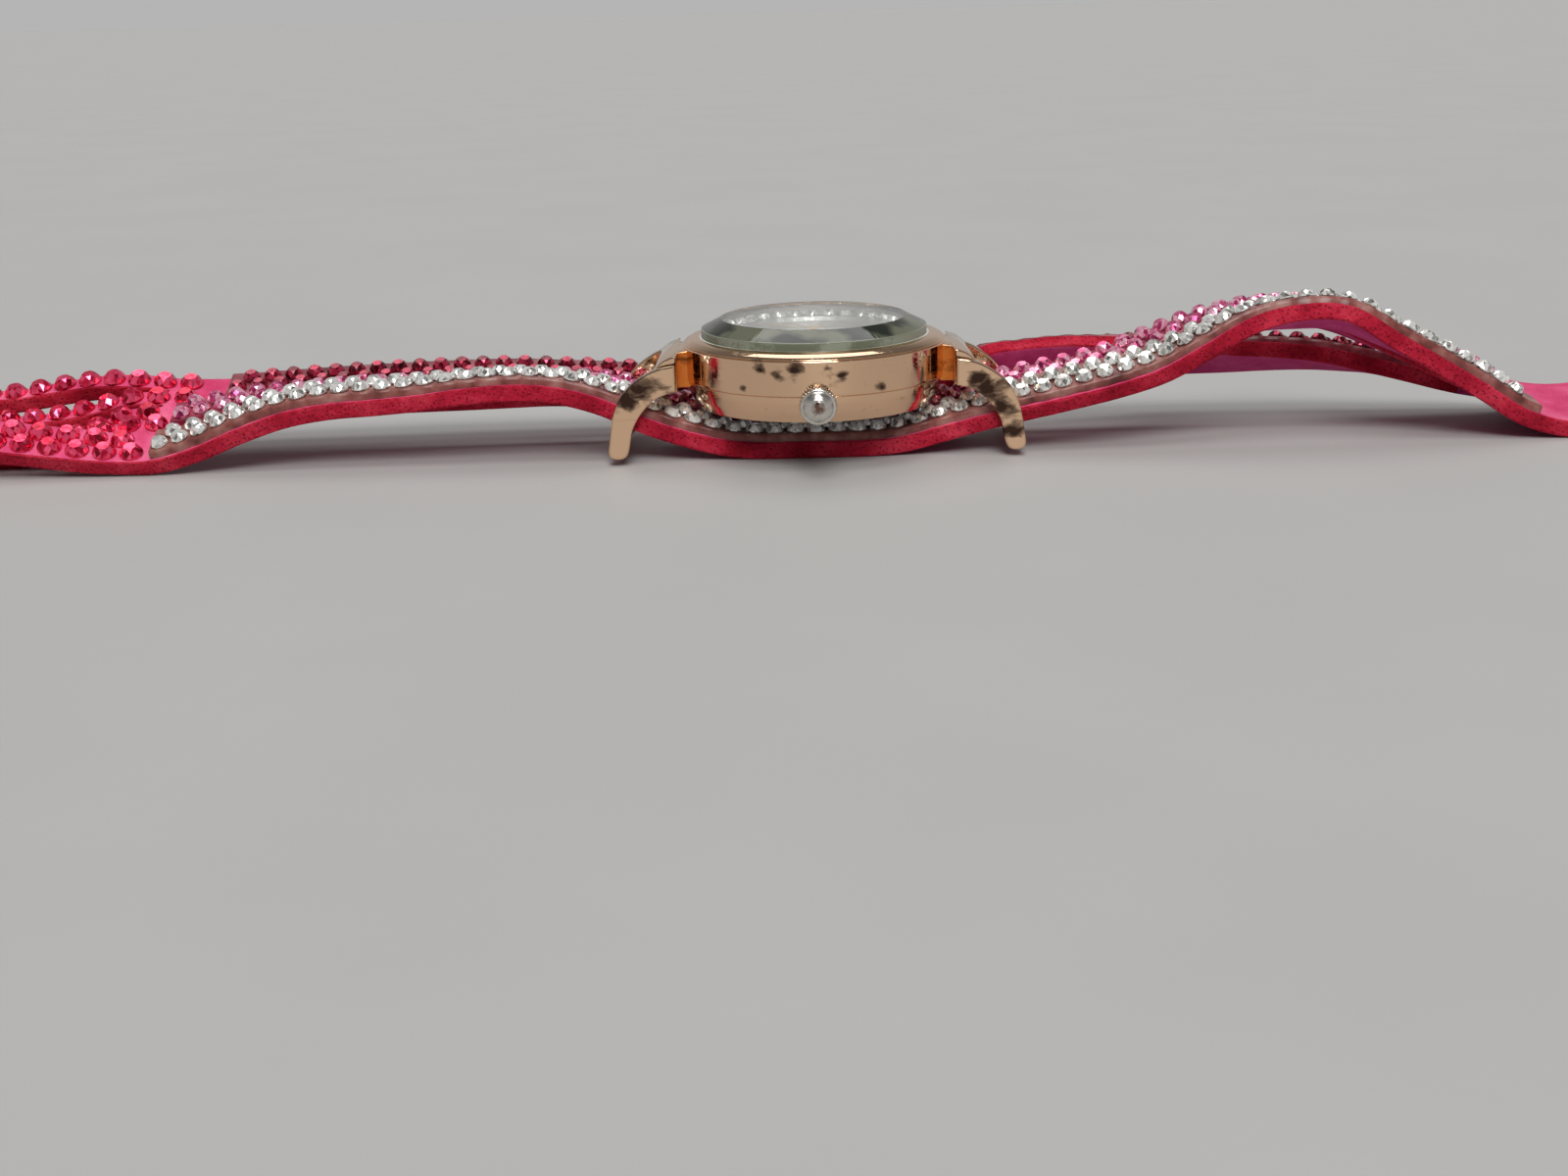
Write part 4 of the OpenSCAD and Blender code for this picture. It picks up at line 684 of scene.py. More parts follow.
# where the rows start on each strand, and where all of them end
OUTER = {"left": ([-78.2, -76.6, -74.4, -74.4], -154), "right": ([94.2, 94.8, 95.4, 95.4], 155)}
for seed, (end, (starts, xb)) in enumerate(OUTER.items(), 120):
    set_stones("fuchsia_stones_%s_cut" % end, outer_seats(starts, xb), OUTER_D, OUTER_H, fuchsia_glass, seed,
               "fuchsia_stones_" + end)

# Case middle
# A cast ring with a rose gold plate: a tall polished wall, a fine seam groove, a tapering lower band,
# and at each end a hood with two bent lug arms that reach down past the strap to the spring bar.
# the case back lies CASE_Z over the table, and the profiles of the case's pieces count from it
CASE_Z, CASE_R, WALL_IN, RING_IN, BACK_R = 5.6, 15.0, 12.65, 12.2, 12.7
# steps of a full turn
ROUND = 192
RIM_H, SEAM_H, LEDGE_H = 7.24, 3.3, 4.6


def eased(corners, reach, closed=True):
    """Every corner becomes a parabola in four steps between points at most reach away from it."""
    p = np.asarray(corners, float)
    n = len(p)
    t = np.linspace(0, 1, 5)[:, None]
    out = []
    for i in range(n):
        if not closed and i in (0, n - 1):
            out.append(p[i:i + 1])
            continue
        a, b, c = p[i - 1], p[i], p[(i + 1) % n]
        la, lc = np.linalg.norm(a - b), np.linalg.norm(c - b)
        s, e = b + (a - b) * min(reach, 0.45 * la) / la, b + (c - b) * min(reach, 0.45 * lc) / lc
        out.append((1 - t) ** 2 * s + 2 * t * (1 - t) * b + t * t * e)
    return np.concatenate(out)


def turned(profile, n=ROUND, closed=True, ripple=None):
    """Profile points (radius, height) carried round the Z axis in n steps. A closed profile runs
    upwards on its outside. An open one starts and ends on the axis, which become poles. ripple is
    added to the radii, one row for each profile point."""
    p = np.asarray(profile, float)
    a = np.arange(n) * 2 * np.pi / n
    inner = p if closed else p[1:-1]
    r = inner[:, :1] + (ripple if ripple is not None else 0)
    points = np.stack([r * np.cos(a), r * np.sin(a), inner[:, 1:] + 0 * a], -1).reshape(-1, 3)
    m = len(inner)
    i, j = np.meshgrid(np.arange(m if closed else m - 1), np.arange(n), indexing="ij")
    k, l = (i + 1) % m, (j + 1) % n
    faces = np.stack([i * n + j, i * n + l, k * n + l, k * n + j], -1).reshape(-1, 4).tolist()
    if not closed:
        points = np.concatenate([points, [[0, 0, p[0, 1]], [0, 0, p[-1, 1]]]])
        low, high, last = len(points) - 2, len(points) - 1, (m - 1) * n
        faces += [[low, (w + 1) % n, w] for w in range(n)]
        faces += [[high, last + w, last + (w + 1) % n] for w in range(n)]
    return points, faces


def rounded_line(knots, steps=5):
    """Catmull-Rom curve through the knots, some steps for each span, ending on the last knot."""
    p = np.asarray(knots, float)
    q = np.concatenate([p[:1], p, p[-1:]])
    u = np.arange(steps)[:, None] / steps
    rows = [q[i + 1] + 0.5 * u * ((q[i + 2] - q[i]) + u * ((2 * q[i] - 5 * q[i + 1] + 4 * q[i + 2] - q[i + 3])
            + u * (3 * (q[i + 1] - q[i + 2]) + q[i + 3] - q[i]))) for i in range(len(p) - 1)]
    return np.concatenate(rows + [p[-1:]])


def plate(outline, y0, y1, ease):
    """A plate with this outline in X and Z between y0 and y1: its rims are quarter rounds of radius
    ease, made by moving the outline inwards along its own normals. The outline runs out along one
    side and back along the other, so each flat face is a ladder of quads across it."""
    p = np.asarray(outline, float)
    area = (p[:, 0] * np.roll(p[:, 1], -1) - np.roll(p[:, 0], -1) * p[:, 1]).sum()
    if area < 0:
        p = p[::-1]
    step = np.roll(p, -1, 0) - np.roll(p, 1, 0)
    out = np.stack([step[:, 1], -step[:, 0]], -1) / np.linalg.norm(step, axis=1, keepdims=True)
    a = np.linspace(0, np.pi / 2, 5)
    tuck = ease * (1 - np.sin(a))
    y = np.concatenate([y0 + ease * (1 - np.cos(a)), (y1 - ease * (1 - np.cos(a)))[::-1]])
    tuck = np.concatenate([tuck, tuck[::-1]])
    ring = p[None] - out[None] * tuck[:, None, None]
    points = np.stack([ring[..., 0], np.broadcast_to(y[:, None], ring.shape[:2]), ring[..., 1]], -1)
    n, m = len(y), len(p)
    rungs = [[k, k + 1, m - 2 - k, m - 1 - k] for k in range((m - 1) // 2)]
    rungs = [list(dict.fromkeys(f)) for f in rungs]
    last = (n - 1) * m
    flat = [[last + v for v in f][::-1] for f in rungs] + rungs
    return points.reshape(-1, 3), [f[::-1] for f in tube_faces(n, m)[:-2]] + flat


def together(*parts):
    """Several closed shells as one list of points and faces."""
    points, faces, start = [], [], 0
    for p, f in parts:
        points.append(p)
        faces += [[v + start for v in q] for q in f]
        start += len(p)
    return np.concatenate(points), faces


def mirrored(part):
    """The same shell on the other side of X = 0, with its faces turned to look outwards again."""
    points, faces = part
    return points * [-1, 1, 1], [f[::-1] for f in faces]


def lifted(part, z):
    """The same shell, z higher."""
    return part[0] + [0, 0, z], part[1]


band = eased([[RING_IN, 1.1], [BACK_R + 0.05, 1.1], [BACK_R + 0.05, 0.25], [CASE_R - 1.4, 0.25],
              [CASE_R - 0.75, 1.4], [CASE_R - 0.3, 2.5], [CASE_R - 0.13, SEAM_H - 0.06],
              [CASE_R - 0.2, SEAM_H], [CASE_R - 0.02, SEAM_H + 0.08], [CASE_R, SEAM_H + 0.3],
              [CASE_R, RIM_H - 0.12], [CASE_R - 0.1, RIM_H], [CASE_R - 1.18, RIM_H],
              [CASE_R - 1.18, RIM_H - 0.7], [CASE_R - 1.72, RIM_H - 0.7],
              [CASE_R - 1.72, RIM_H], [WALL_IN, RIM_H], [WALL_IN, LEDGE_H], [RING_IN, LEDGE_H]], 0.08)
ARM_Y, ARM_T = 5.7, 1.6
NECK_FROM, NECK_TO, NECK_W, NECK_HOLLOW = 12.4, 16.0, 8.8, 0.12
arm_line = [[15.75, 5.82], [17.5, 5.5], [19.0, 4.88], [20.6, 3.8], [21.5, 2.95], [22.3, 1.8],
            [22.9, 0.4], [23.15, -0.8], [23.4, -2.4], [23.6, -3.95], [23.3, -4.6], [22.5, -4.8],
            [21.75, -4.6], [21.3, -3.9], [21.0, -2.6], [20.7, -1.3], [20.0, 0], [19.2, 1.0], [18.3, 1.8],
            [17.2, 2.4], [15.75, 2.75]]
hood_line = [[15.6, 6.68], [16.2, 6.55], [17.1, 6.15], [17.9, 5.45], [18.3, 4.6], [18.2, 3.7],
             [17.6, 3.1], [16.6, 2.78], [15.6, 2.7]]
hood = plate(rounded_line(hood_line), -ARM_Y - 0.6, ARM_Y + 0.6, 0.18)
neck_x = np.linspace(NECK_FROM, NECK_TO, 13)
neck_top = np.stack([neck_x, np.interp(neck_x, [NECK_FROM, 14.6, NECK_TO], [6.85, 6.8, 6.6])], -1)
neck_low = np.stack([neck_x, np.interp(neck_x, [NECK_FROM, 14.5, NECK_TO], [2.7, 2.7, 2.75])], -1)
neck = plate(np.concatenate([neck_top, neck_low[::-1]]), -NECK_W / 2, NECK_W / 2, 0.1)
# its sides are hollow from the wall to the hood
past_mid = (neck[0][:, 0] - (NECK_TO + NECK_FROM) / 2) / ((NECK_TO - NECK_FROM) / 2)
neck[0][:, 1] *= 1 - NECK_HOLLOW * np.clip(1 - past_mid ** 2, 0, 1)
arms = [plate(rounded_line(arm_line), y, y + ARM_T, 0.22) for y in (-ARM_Y - ARM_T, ARM_Y)]
lug_end = together(neck, hood, *arms)


# Scuffs on polished metal: fine scratches in two directions, and blotches where the plate is worn.
scuffs, scuffs_in, scuffs_out = effect("scuffs", ["Wear"], ["Lines", "Worn", "Cloud"])
lines = []
for turn_by, stretch in (((0.3, 0.5, 0.1), (60, 900, 2600)), ((1.2, -0.4, 0.9), (2400, 90, 1500))):
    place = node(scuffs, "Mapping", Vector=scuffs_in["Place"], Rotation=turn_by, Scale=stretch).outputs[0]
    thread = noise(scuffs, place, Scale=1.0, Detail=2, Roughness=0.6)
    lines.append(ramp(scuffs, thread, (0.60, (0,)), (0.68, (1,))))
both = calc(scuffs, "MAXIMUM", lines[0], lines[1])
flat_place = node(scuffs, "Mapping", Vector=scuffs_in["Place"], Scale=(1, 1, 1.7)).outputs[0]
cloud = noise(scuffs, flat_place, Scale=330, Detail=3, Roughness=0.6, Distortion=0.4)
edge = scaled(scuffs, scuffs_in["Wear"], 0.35, cloud)
worn = ramp(scuffs, edge, (0.62, (0,)), (0.84, (1,)))
for k, value in enumerate((both, worn, cloud)):
    scuffs.links.new(value, scuffs_out.inputs[k])


def plated_finish(name, colour, tarnish_and_reflection, rough, wear=0.25, spots=()):
    """Polished plate: scratches and clouds vary the gloss, worn spots show the dull base metal. Spots (x, y,
    z, radius in mm) are places where hands and straps rub the plate most; their dark colour is also painted
    reflection."""
    made, tree, shader, place = finish_of(name)
    rub_and_reflection = wear
    for x, y, z, r in spots:
        reach = measure(tree, "DISTANCE", place, (x / 1000, y / 1000, z / 1000))
        close = scaled(tree, reach, -800 / r, 1.05)
        rub_and_reflection = calc(tree, "MAXIMUM", rub_and_reflection, close)
    marks = use(tree, scuffs, Place=place, Wear=rub_and_reflection)
    half = [0.3 * c + 0.7 * t for c, t in zip(colour, tarnish_and_reflection)]
    tint = ramp(tree, marks["Worn"], (0.0, colour), (0.5, half), (1.0, tarnish_and_reflection))
    gloss = scaled(tree, marks["Lines"], 0.12, rough)
    gloss = scaled(tree, marks["Worn"], 0.3, gloss)
    bump = relief(tree, 0.6, 6e-6, marks["Lines"])
    feed(tree, shader, Base_Color=tint, Metallic=1.0, Roughness=gloss, Normal=bump)
    return made


ROSE = (0.80, 0.53, 0.345)
# worn spots, their dark colour partly painted reflection of the strap and the room: x, y, height over the
# table, and radius
WORN_AND_REFLECTED = [(-21.4, -7.3, 7.6, 2.6), (-19.6, -7.3, 9.1, 2.6), (19.2, -7.3, 7.8, 2.5), (18.0, -7.3, 9.2, 2.0),
        (20.9, -7.3, 5.6, 1.8), (21.8, -7.3, 3.2, 1.3), (-6.2, -13.6, 11.9, 1.2), (-4.4, -14.3, 11.3, 1.1),
        (-2.5, -14.8, 12.0, 1.1), (1.2, -15.0, 12.1, 1.0), (2.7, -14.8, 11.1, 0.8), (7.0, -13.2, 9.5, 0.8),
        (-8.0, -12.7, 9.7, 0.7)]
rose_gold = plated_finish("rose_gold", ROSE, (0.06, 0.032, 0.023), rough=0.07, wear=-0.1, spots=WORN_AND_REFLECTED)
shell = together(turned(band), lug_end, mirrored(lug_end))
case = add_piece("case_middle_shell", shell[0] + [0, 0, CASE_Z], shell[1], [rose_gold], crease=40)
sides = np.zeros(3 * len(case.data.polygons))
case.data.polygons.foreach_get("normal", sides)
case.data.polygons.foreach_set("use_smooth", np.abs(sides[1::3]) < 0.99999)
# in the hollows beside the necks the plate is painted a deeper orange: painted reflection of the gold walls
# in each other, and painted shade
places = np.zeros(3 * len(case.data.polygons))
case.data.polygons.foreach_get("center", places)
from_mid, across = np.abs(places[0::3]) * 1000, np.abs(places[1::3]) * 1000
beside = (from_mid > NECK_FROM) & (from_mid < NECK_TO) & (across < NECK_W / 2 + 0.1)
hollow = beside & (np.abs(sides[1::3]) > 0.7)
hollow_reflection_gold = plated_finish("rose_gold_hollow_reflection", (0.78, 0.22, 0.045), (0.06, 0.02, 0.01), rough=0.2)
case.data.materials.append(hollow_reflection_gold)
case.data.polygons.foreach_set("material_index", hollow.astype(np.int32))
dress(case, "case_middle")

# Bezel
# A turned ring of the same plated metal, pressed into a groove of the case: a soft cone that falls
# from the glass to the rim, with a fine bright lip.
GLASS_R, TABLE_R, GASKET, GLASS_H, GLASS_SIDE, GLASS_T = 12.9, 10.6, 0.25, RIM_H + 0.31, 1.28, 2.41
bezel_line = eased([[WALL_IN - 0.35, RIM_H], [CASE_R - 1.7, RIM_H], [CASE_R - 1.7, RIM_H - 0.65],
                    [CASE_R - 1.2, RIM_H - 0.65], [CASE_R - 1.2, RIM_H], [CASE_R - 0.12, RIM_H],
                    [CASE_R - 0.02, RIM_H + 0.1], [CASE_R - 0.35, RIM_H + 0.36], [CASE_R - 0.9, RIM_H + 0.58],
                    [CASE_R - 1.5, RIM_H + 0.71], [GLASS_R + GASKET + 0.1, RIM_H + 0.76],
                    [GLASS_R + GASKET, RIM_H + 0.66], [GLASS_R + GASKET, GLASS_H],
                    [WALL_IN - 0.35, GLASS_H]], 0.06)
bezel = add_piece("bezel_ring", *lifted(turned(bezel_line), CASE_Z), [rose_gold], crease=40)
dress(bezel, "bezel")

# Glass
# Thick mineral glass with a ground side, a polished bevel and a flat table. The side is slightly
# green, and the edge between side and bevel is chipped all round. A pale seal holds it.
# finer steps than elsewhere, for the chips
n = 480
glass_line = [[0, 0], [GLASS_R - 0.05, 0], [GLASS_R, 0.05], [GLASS_R, GLASS_SIDE - 0.1],
              [GLASS_R - 0.01, GLASS_SIDE], [GLASS_R - 0.12, GLASS_SIDE + 0.05],
              [TABLE_R + 0.06, GLASS_T - 0.03], [TABLE_R - 0.02, GLASS_T], [0, GLASS_T]]
chips = np.zeros((len(glass_line) - 2, n))
chip = np.clip(np.random.default_rng(5).normal(0, 0.02, n), -0.045, 0)
chips[3], chips[4] = chip, 0.6 * chip
points, faces = turned(glass_line, n, closed=False, ripple=chips)
# finishes by rows of n faces from the foot up: ground side, chipped edge, bevel, then clear glass
kinds = np.zeros(len(faces), int)
kinds[:2 * n] = 1
kinds[2 * n:4 * n] = 2
kinds[4 * n:5 * n] = 3


def clear_glass(name, tint, rough, shade):
    """Glass that lets most of the light through to the dial: only shadow rays see it thin."""
    made, tree, shader, place = finish_of(name)
    fine = noise(tree, place, Scale=900, Detail=3)
    gloss = scaled(tree, fine, rough * 0.5, rough * 0.75)
    shadow = node(tree, "LightPath").outputs["Is Shadow Ray"]
    see = scaled(tree, shadow, -(1 - shade), 1.0)
    feed(tree, shader, Base_Color=(*tint, 1), Roughness=gloss, Transmission_Weight=1.0, IOR=1.5, Alpha=see)
    return made


glass_clear = clear_glass("glass_table", (0.97, 1.0, 0.985), 0.01, 0.1)


def green_glass(name, low, high, rough, specks, clear, shine=0.5):
    """The thick rim of the glass, where its own green shows: slow shades run round it, with specks. On the
    bevel the dark olive is painted reflection.
    """
    made, tree, shader, place = finish_of(name)
    slow = noise(tree, place, Scale=230, Detail=2, Roughness=0.4)
    speck = noise(tree, place, Scale=2600, Detail=2)
    tone = scaled(tree, speck, specks, slow)
    middle = 0.5 + specks / 2
    tint = ramp(tree, tone, (middle - 0.06, low), (middle + 0.08, high))
    feed(tree, shader, Base_Color=tint, Roughness=rough, Transmission_Weight=clear, IOR=1.5,
         Specular_IOR_Level=shine, Coat_Weight=0.2 * shine, Coat_Roughness=0.02)
    return made


glass_side = green_glass("glass_ground_side", (0.15, 0.17, 0.11), (0.30, 0.33, 0.25), 0.35, 0.3, 0.25)
# the bevel's near-black to olive colour is painted reflection
glass_bevel = green_glass("glass_bevel", (0.015, 0.018, 0.012), (0.16, 0.165, 0.11), 0.05, 0.0, 0.2, 0.4)
glass_chips = green_glass("glass_chipped_edge", (0.22, 0.24, 0.17), (1.0, 1.0, 0.95), 0.15, 1.2, 0.1)
glass = add_piece("watch_glass", points + [0, 0, CASE_Z + GLASS_H], faces,
                  [glass_clear, glass_side, glass_chips, glass_bevel], kinds, crease=12)
dress(glass, "glass")
seal_line = eased([[GLASS_R, 0], [GLASS_R + GASKET, 0], [GLASS_R + GASKET, 0.38], [GLASS_R + 0.14, 0.42],
                   [GLASS_R, 0.38]], 0.05)
seal_white, tree, shader, place = finish_of("glass_seal")
dust = noise(tree, place, Scale=1400, Detail=3)
tint = ramp(tree, dust, (0.35, (0.50, 0.49, 0.44)), (0.7, (0.80, 0.80, 0.76)))
feed(tree, shader, Base_Color=tint, Roughness=0.6)
seal_shape = lifted(turned(seal_line), CASE_Z + GLASS_H)
seal = add_piece("glass_seal_ring", *seal_shape, [seal_white], crease=40)
dress(seal, "glass_gasket")

# Case back
# A pressed steel disc, snapped in from below: brushed in rings, with a raised rim, a shallow step
# and a notch for the opening knife.
steel_brushed, tree, shader, place = finish_of("brushed_steel")
flat = node(tree, "VectorMath", {"operation": "MULTIPLY"}, i0=place, i1=(1, 1, 0)).outputs[0]
radius = measure(tree, "LENGTH", flat)
rings = line_noise(tree, radius, Scale=9000, Detail=3)
marks = use(tree, scuffs, Place=place, Wear=0.0)
gloss = scaled(tree, rings, 0.2, 0.18)
both = calc(tree, "ADD", rings, marks["Lines"])
tint = ramp(tree, rings, (0.3, (0.55, 0.56, 0.58)), (0.7, (0.72, 0.73, 0.75)))
feed(tree, shader, Base_Color=tint, Metallic=1.0, Roughness=gloss, Normal=relief(tree, 0.5, 6e-6, both))
a = np.arange(ROUND) * 2 * np.pi / ROUND
back_line = eased([[0, 0.12], [9.6, 0.12], [9.9, 0.22], [10.2, 0.22], [10.5, 0.0], [12.2, 0.0], [12.55, 0.1],
                   [BACK_R, 0.3], [BACK_R, 0.75], [BACK_R - 0.05, 0.8], [0, 0.8]], 0.1, closed=False)
notch = np.clip(1 - np.abs((a - 4.2) / 0.09), 0, 1) ** 0.5 * -0.45
ripple = np.where(((back_line[1:-1, 0] > 12.1) & (back_line[1:-1, 1] < 0.5))[:, None], notch, 0)
back = add_piece("case_back_disc", *lifted(turned(back_line, closed=False, ripple=ripple), CASE_Z),
                 [steel_brushed], crease=30)
dress(back, "case_back")

# Crown
# Worn silver plate on brass: a fluted rim, a turned step and a low dome. It turns the stem and
# pulls it out. Its axis lies STEM_Z over the table.
STEM_Z, CROWN_IN, CROWN_R, TUBE_R, STEM_R, FLUTES = 8.2, 15.3, 2.05, 1.1, 0.5, 36


def towards_crown(part):
    """From an axis along Z to one that runs out of the case through the crown, along -Y."""
    points, faces = part
    return np.stack([points[:, 0], -points[:, 2], points[:, 1] + STEM_Z], -1), faces


crown_line = eased([[TUBE_R + 0.2, 0], [CROWN_R - 0.15, 0], [CROWN_R, 0.15], [CROWN_R, 0.6],
                    [CROWN_R, 1.4], [CROWN_R - 0.18, 1.6], [CROWN_R - 0.40, 1.62], [CROWN_R - 0.46, 1.75],
                    [CROWN_R - 0.68, 2.02], [CROWN_R - 1.05, 2.26], [CROWN_R - 1.5, 2.4], [0.02, 2.46],
                    [0.02, 1.9], [STEM_R, 1.9], [STEM_R, 1.45], [TUBE_R + 0.2, 1.45]], 0.07)
n = FLUTES * 8
a = np.arange(n) * 2 * np.pi / n
groove = -0.12 * np.clip(np.cos(a * FLUTES), 0, 1) ** 0.6
on_rim = (crown_line[:, 0] > CROWN_R - 0.09) & (crown_line[:, 1] > 0.05)
ripple = on_rim[:, None] * groove
silver, tree, shader, place = finish_of("worn_silver")
marks = use(tree, scuffs, Place=place, Wear=0.42)
tint = blend(tree, marks["Worn"], (0.66, 0.63, 0.58, 1), (0.36, 0.31, 0.26, 1))
grain = noise(tree, place, Scale=3000, Detail=3)
# turned rings, and a brown patch in the middle: partly plate worn away by fingers, partly painted dark
# reflection in the dome's centre
flat = node(tree, "VectorMath", {"operation": "MULTIPLY"}, i0=place, i1=(1, 0, 1)).outputs[0]
radius = measure(tree, "DISTANCE", flat, (0, 0, STEM_Z / 1000))
rings = calc(tree, "SINE", calc(tree, "MULTIPLY", radius, 30000))
ragged = scaled(tree, grain, 0.0011, radius)
rub_and_reflection = ramp(tree, calc(tree, "MULTIPLY", ragged, 400), (0.36, (1,)), (0.58, (0,)))
tint = blend(tree, rub_and_reflection, tint, (0.20, 0.12, 0.09, 1))
gloss = scaled(tree, grain, 0.3, 0.08)
lift = scaled(tree, rings, 0.5, grain)
feed(tree, shader, Base_Color=tint, Metallic=1.0, Roughness=gloss, Normal=relief(tree, 0.4, 8e-6, lift))
crown_part = lifted(turned(crown_line, n, ripple=ripple), CROWN_IN)
crown = add_piece("crown_fluted", *towards_crown(crown_part), [silver], crease=38)
dress(crown, "crown", body="crown")

# Ring of stones round the dial
# A dulled chromed ring stands on the dial's edge. Thirty-two small clear stones sit on it.
DIAL_TOP, DIAL_R, RING_R = 5.0, 12.6, 10.2
RING_STONE, RING_STONE_H, RING_COUNT = 1.6, 0.6, 32
RING_H = DIAL_TOP + 1.3
chrome, tree, shader, place = finish_of("ring_chrome")
marks = use(tree, scuffs, Place=place, Wear=0.0)
gloss = scaled(tree, marks["Cloud"], 0.15, 0.42)
tint = ramp(tree, marks["Cloud"], (0.3, (0.34, 0.33, 0.31)), (0.7, (0.43, 0.42, 0.40)))
feed(tree, shader, Base_Color=tint, Metallic=1.0, Roughness=gloss)
ring_line = eased([[RING_R - 1.2, DIAL_TOP], [DIAL_R, DIAL_TOP], [DIAL_R, RIM_H - 0.02],
                   [DIAL_R - 0.4, RIM_H - 0.02], [DIAL_R - 0.4, RING_H], [RING_R - 0.95, RING_H],
                   [RING_R - 1.2, RING_H - 0.5]], 0.06)
ring = add_piece("stone_ring", *lifted(turned(ring_line), CASE_Z), [chrome], crease=30)
dress(ring, "rehaut_ring")
a = np.arange(RING_COUNT) * 2 * np.pi / RING_COUNT
out = np.stack([np.cos(a), np.sin(a), 0 * a], -1)
around = np.stack([-np.sin(a), np.cos(a), 0 * a], -1)
upwards = np.tile([0, 0, 1.0], (RING_COUNT, 1))
seats = (out * RING_R + [0, 0, CASE_Z + RING_H + STRIP_SEAT], out, around, upwards)
ring_glass = foil_stone("ring_crystal", (0.14, 0.135, 0.13), (0.40, 0.385, 0.36), (0.95, 0.94, 0.90), 0.5)
set_stones("ring_stones_cut", seats, RING_STONE, RING_STONE_H, ring_glass, 130, "rehaut_stones")

# Dial, markers and hands
# A silvered dial with a fine sunray brush and a printed minute track, twelve rose gold bars, and
# three hands with a ridge along the middle.
silvered, tree, shader, place = finish_of("silvered_dial")
axes = node(tree, "SeparateXYZ", i0=place).outputs
angle = calc(tree, "ARCTAN2", axes[1], axes[0])
rays = line_noise(tree, angle, Scale=90, Detail=4, Roughness=0.7)
length = measure(tree, "LENGTH", node(tree, "CombineXYZ", i0=axes[0], i1=axes[1]).outputs[0])
beat = calc(tree, "PINGPONG", calc(tree, "MULTIPLY", angle, 60 / (2 * math.pi)), 0.5)
tick = calc(tree, "LESS_THAN", beat, 0.07)
outer = calc(tree, "GREATER_THAN", length, 0.0080)
inner = calc(tree, "LESS_THAN", length, 0.0086)
track = calc(tree, "MULTIPLY", calc(tree, "MULTIPLY", outer, inner), tick)
base = ramp(tree, rays, (0.3, (0.46, 0.43, 0.38)), (0.7, (0.60, 0.565, 0.50)))
feed(tree, shader, Base_Color=blend(tree, track, base, (0.12, 0.11, 0.11, 1)),
     Metallic=0.2, Roughness=0.5, Normal=relief(tree, 0.4, 8e-6, rays))
dial_line = eased([[1.05, LEDGE_H], [DIAL_R, LEDGE_H], [DIAL_R, DIAL_TOP], [1.05, DIAL_TOP]], 0.02)
dial = add_piece("dial_plate", *lifted(turned(dial_line), CASE_Z), [silvered], crease=30)
dress(dial, "dial")

polished_gold = plated_finish("polished_gold", (0.80, 0.52, 0.36), (0.5, 0.3, 0.2), rough=0.36, wear=-0.5)


def ridged_bar(x0, x1, w0, w1, t, turn_deg, z):
    """A bar from x0 to x1 along its own axis, w0 and w1 wide at its ends, with a roof-shaped top
    whose ridge runs along the middle, turned clockwise about the dial's axis."""
    rows = []
    for x, w in ((x0, w0), (x1, w1)):
        rows += [[x, -w / 2, 0], [x, w / 2, 0], [x, w / 2, 0.35 * t], [x, 0, t], [x, -w / 2, 0.35 * t]]
    p = np.array(rows)
    c, s = math.cos(math.radians(-turn_deg)), math.sin(math.radians(-turn_deg))
    p = np.stack([p[:, 0] * c - p[:, 1] * s, p[:, 0] * s + p[:, 1] * c, p[:, 2] + z], -1)
    return p, [f[::-1] for f in tube_faces(2, 5)]


bar_w = [0.32 if k % 3 else 0.5 for k in range(12)]
bars = [ridged_bar(RING_R - 2.9, RING_R - 1.4, w, w, 0.12, 30 * k, CASE_Z + DIAL_TOP)
        for k, w in enumerate(bar_w)]
markers = add_piece("hour_bars", *together(*bars), [polished_gold], smooth=False)
dress(markers, "hour_markers")
# body, length, width, thickness, hub and bore radius, degrees on the dial, height over it
HANDS = {"hour": ("hours", 4.6, 0.8, 0.15, 1.15, 0.9, 305, 0.55),
         "minute": ("minutes", 6.9, 0.65, 0.15, 0.95, 0.58, 60, 1.0),
         "second": ("seconds", 7.4, 0.25, 0.12, 0.65, 0.3, 210, 1.45)}
for kind, (body, reach, wide, t, hub, bore, at, z) in HANDS.items():
    z += CASE_Z + DIAL_TOP
    blade = together(ridged_bar(bore + 0.1, 0.75 * reach, wide * 0.7, wide, t, at, z),
                     ridged_bar(0.75 * reach, reach, wide, 0.04, t, at, z),
                     ridged_bar(-1.2, -bore - 0.1, wide, wide * 0.7, t, at, z))
    eye = lifted(turned(eased([[bore, 0], [hub, 0], [hub, t * 0.7], [hub - 0.1, t], [bore, t]], 0.03), 64), z)
    hand = add_piece(kind + "_hand_ridged", *together(blade, eye), [polished_gold], crease=30)
    dress(hand, kind + "_hand", body=body)

# Movement
# The quartz movement behind the dial, the stem and its tube, the spring bars and two gaskets are
# shown as they are in the model. Each gets the finish of its own metal, plastic, rubber or wire.


def plain_metal(name, pale, dark, rough, metallic=1.0):
    """Matt metal, or plastic and rubber with metallic at 0: a fine grain moves the colour and the gloss."""
    made, tree, shader, place = finish_of(name)
    marks = use(tree, scuffs, Place=place, Wear=0.0)
    fine = noise(tree, place, Scale=4000, Detail=3)
    gloss = scaled(tree, fine, 0.25, rough)
    lift = calc(tree, "ADD", fine, marks["Lines"])
    feed(tree, shader, Base_Color=ramp(tree, fine, (0.35, dark), (0.65, pale)), Metallic=metallic,
         Roughness=gloss, Normal=relief(tree, 0.4, 5e-6, lift))
    return made


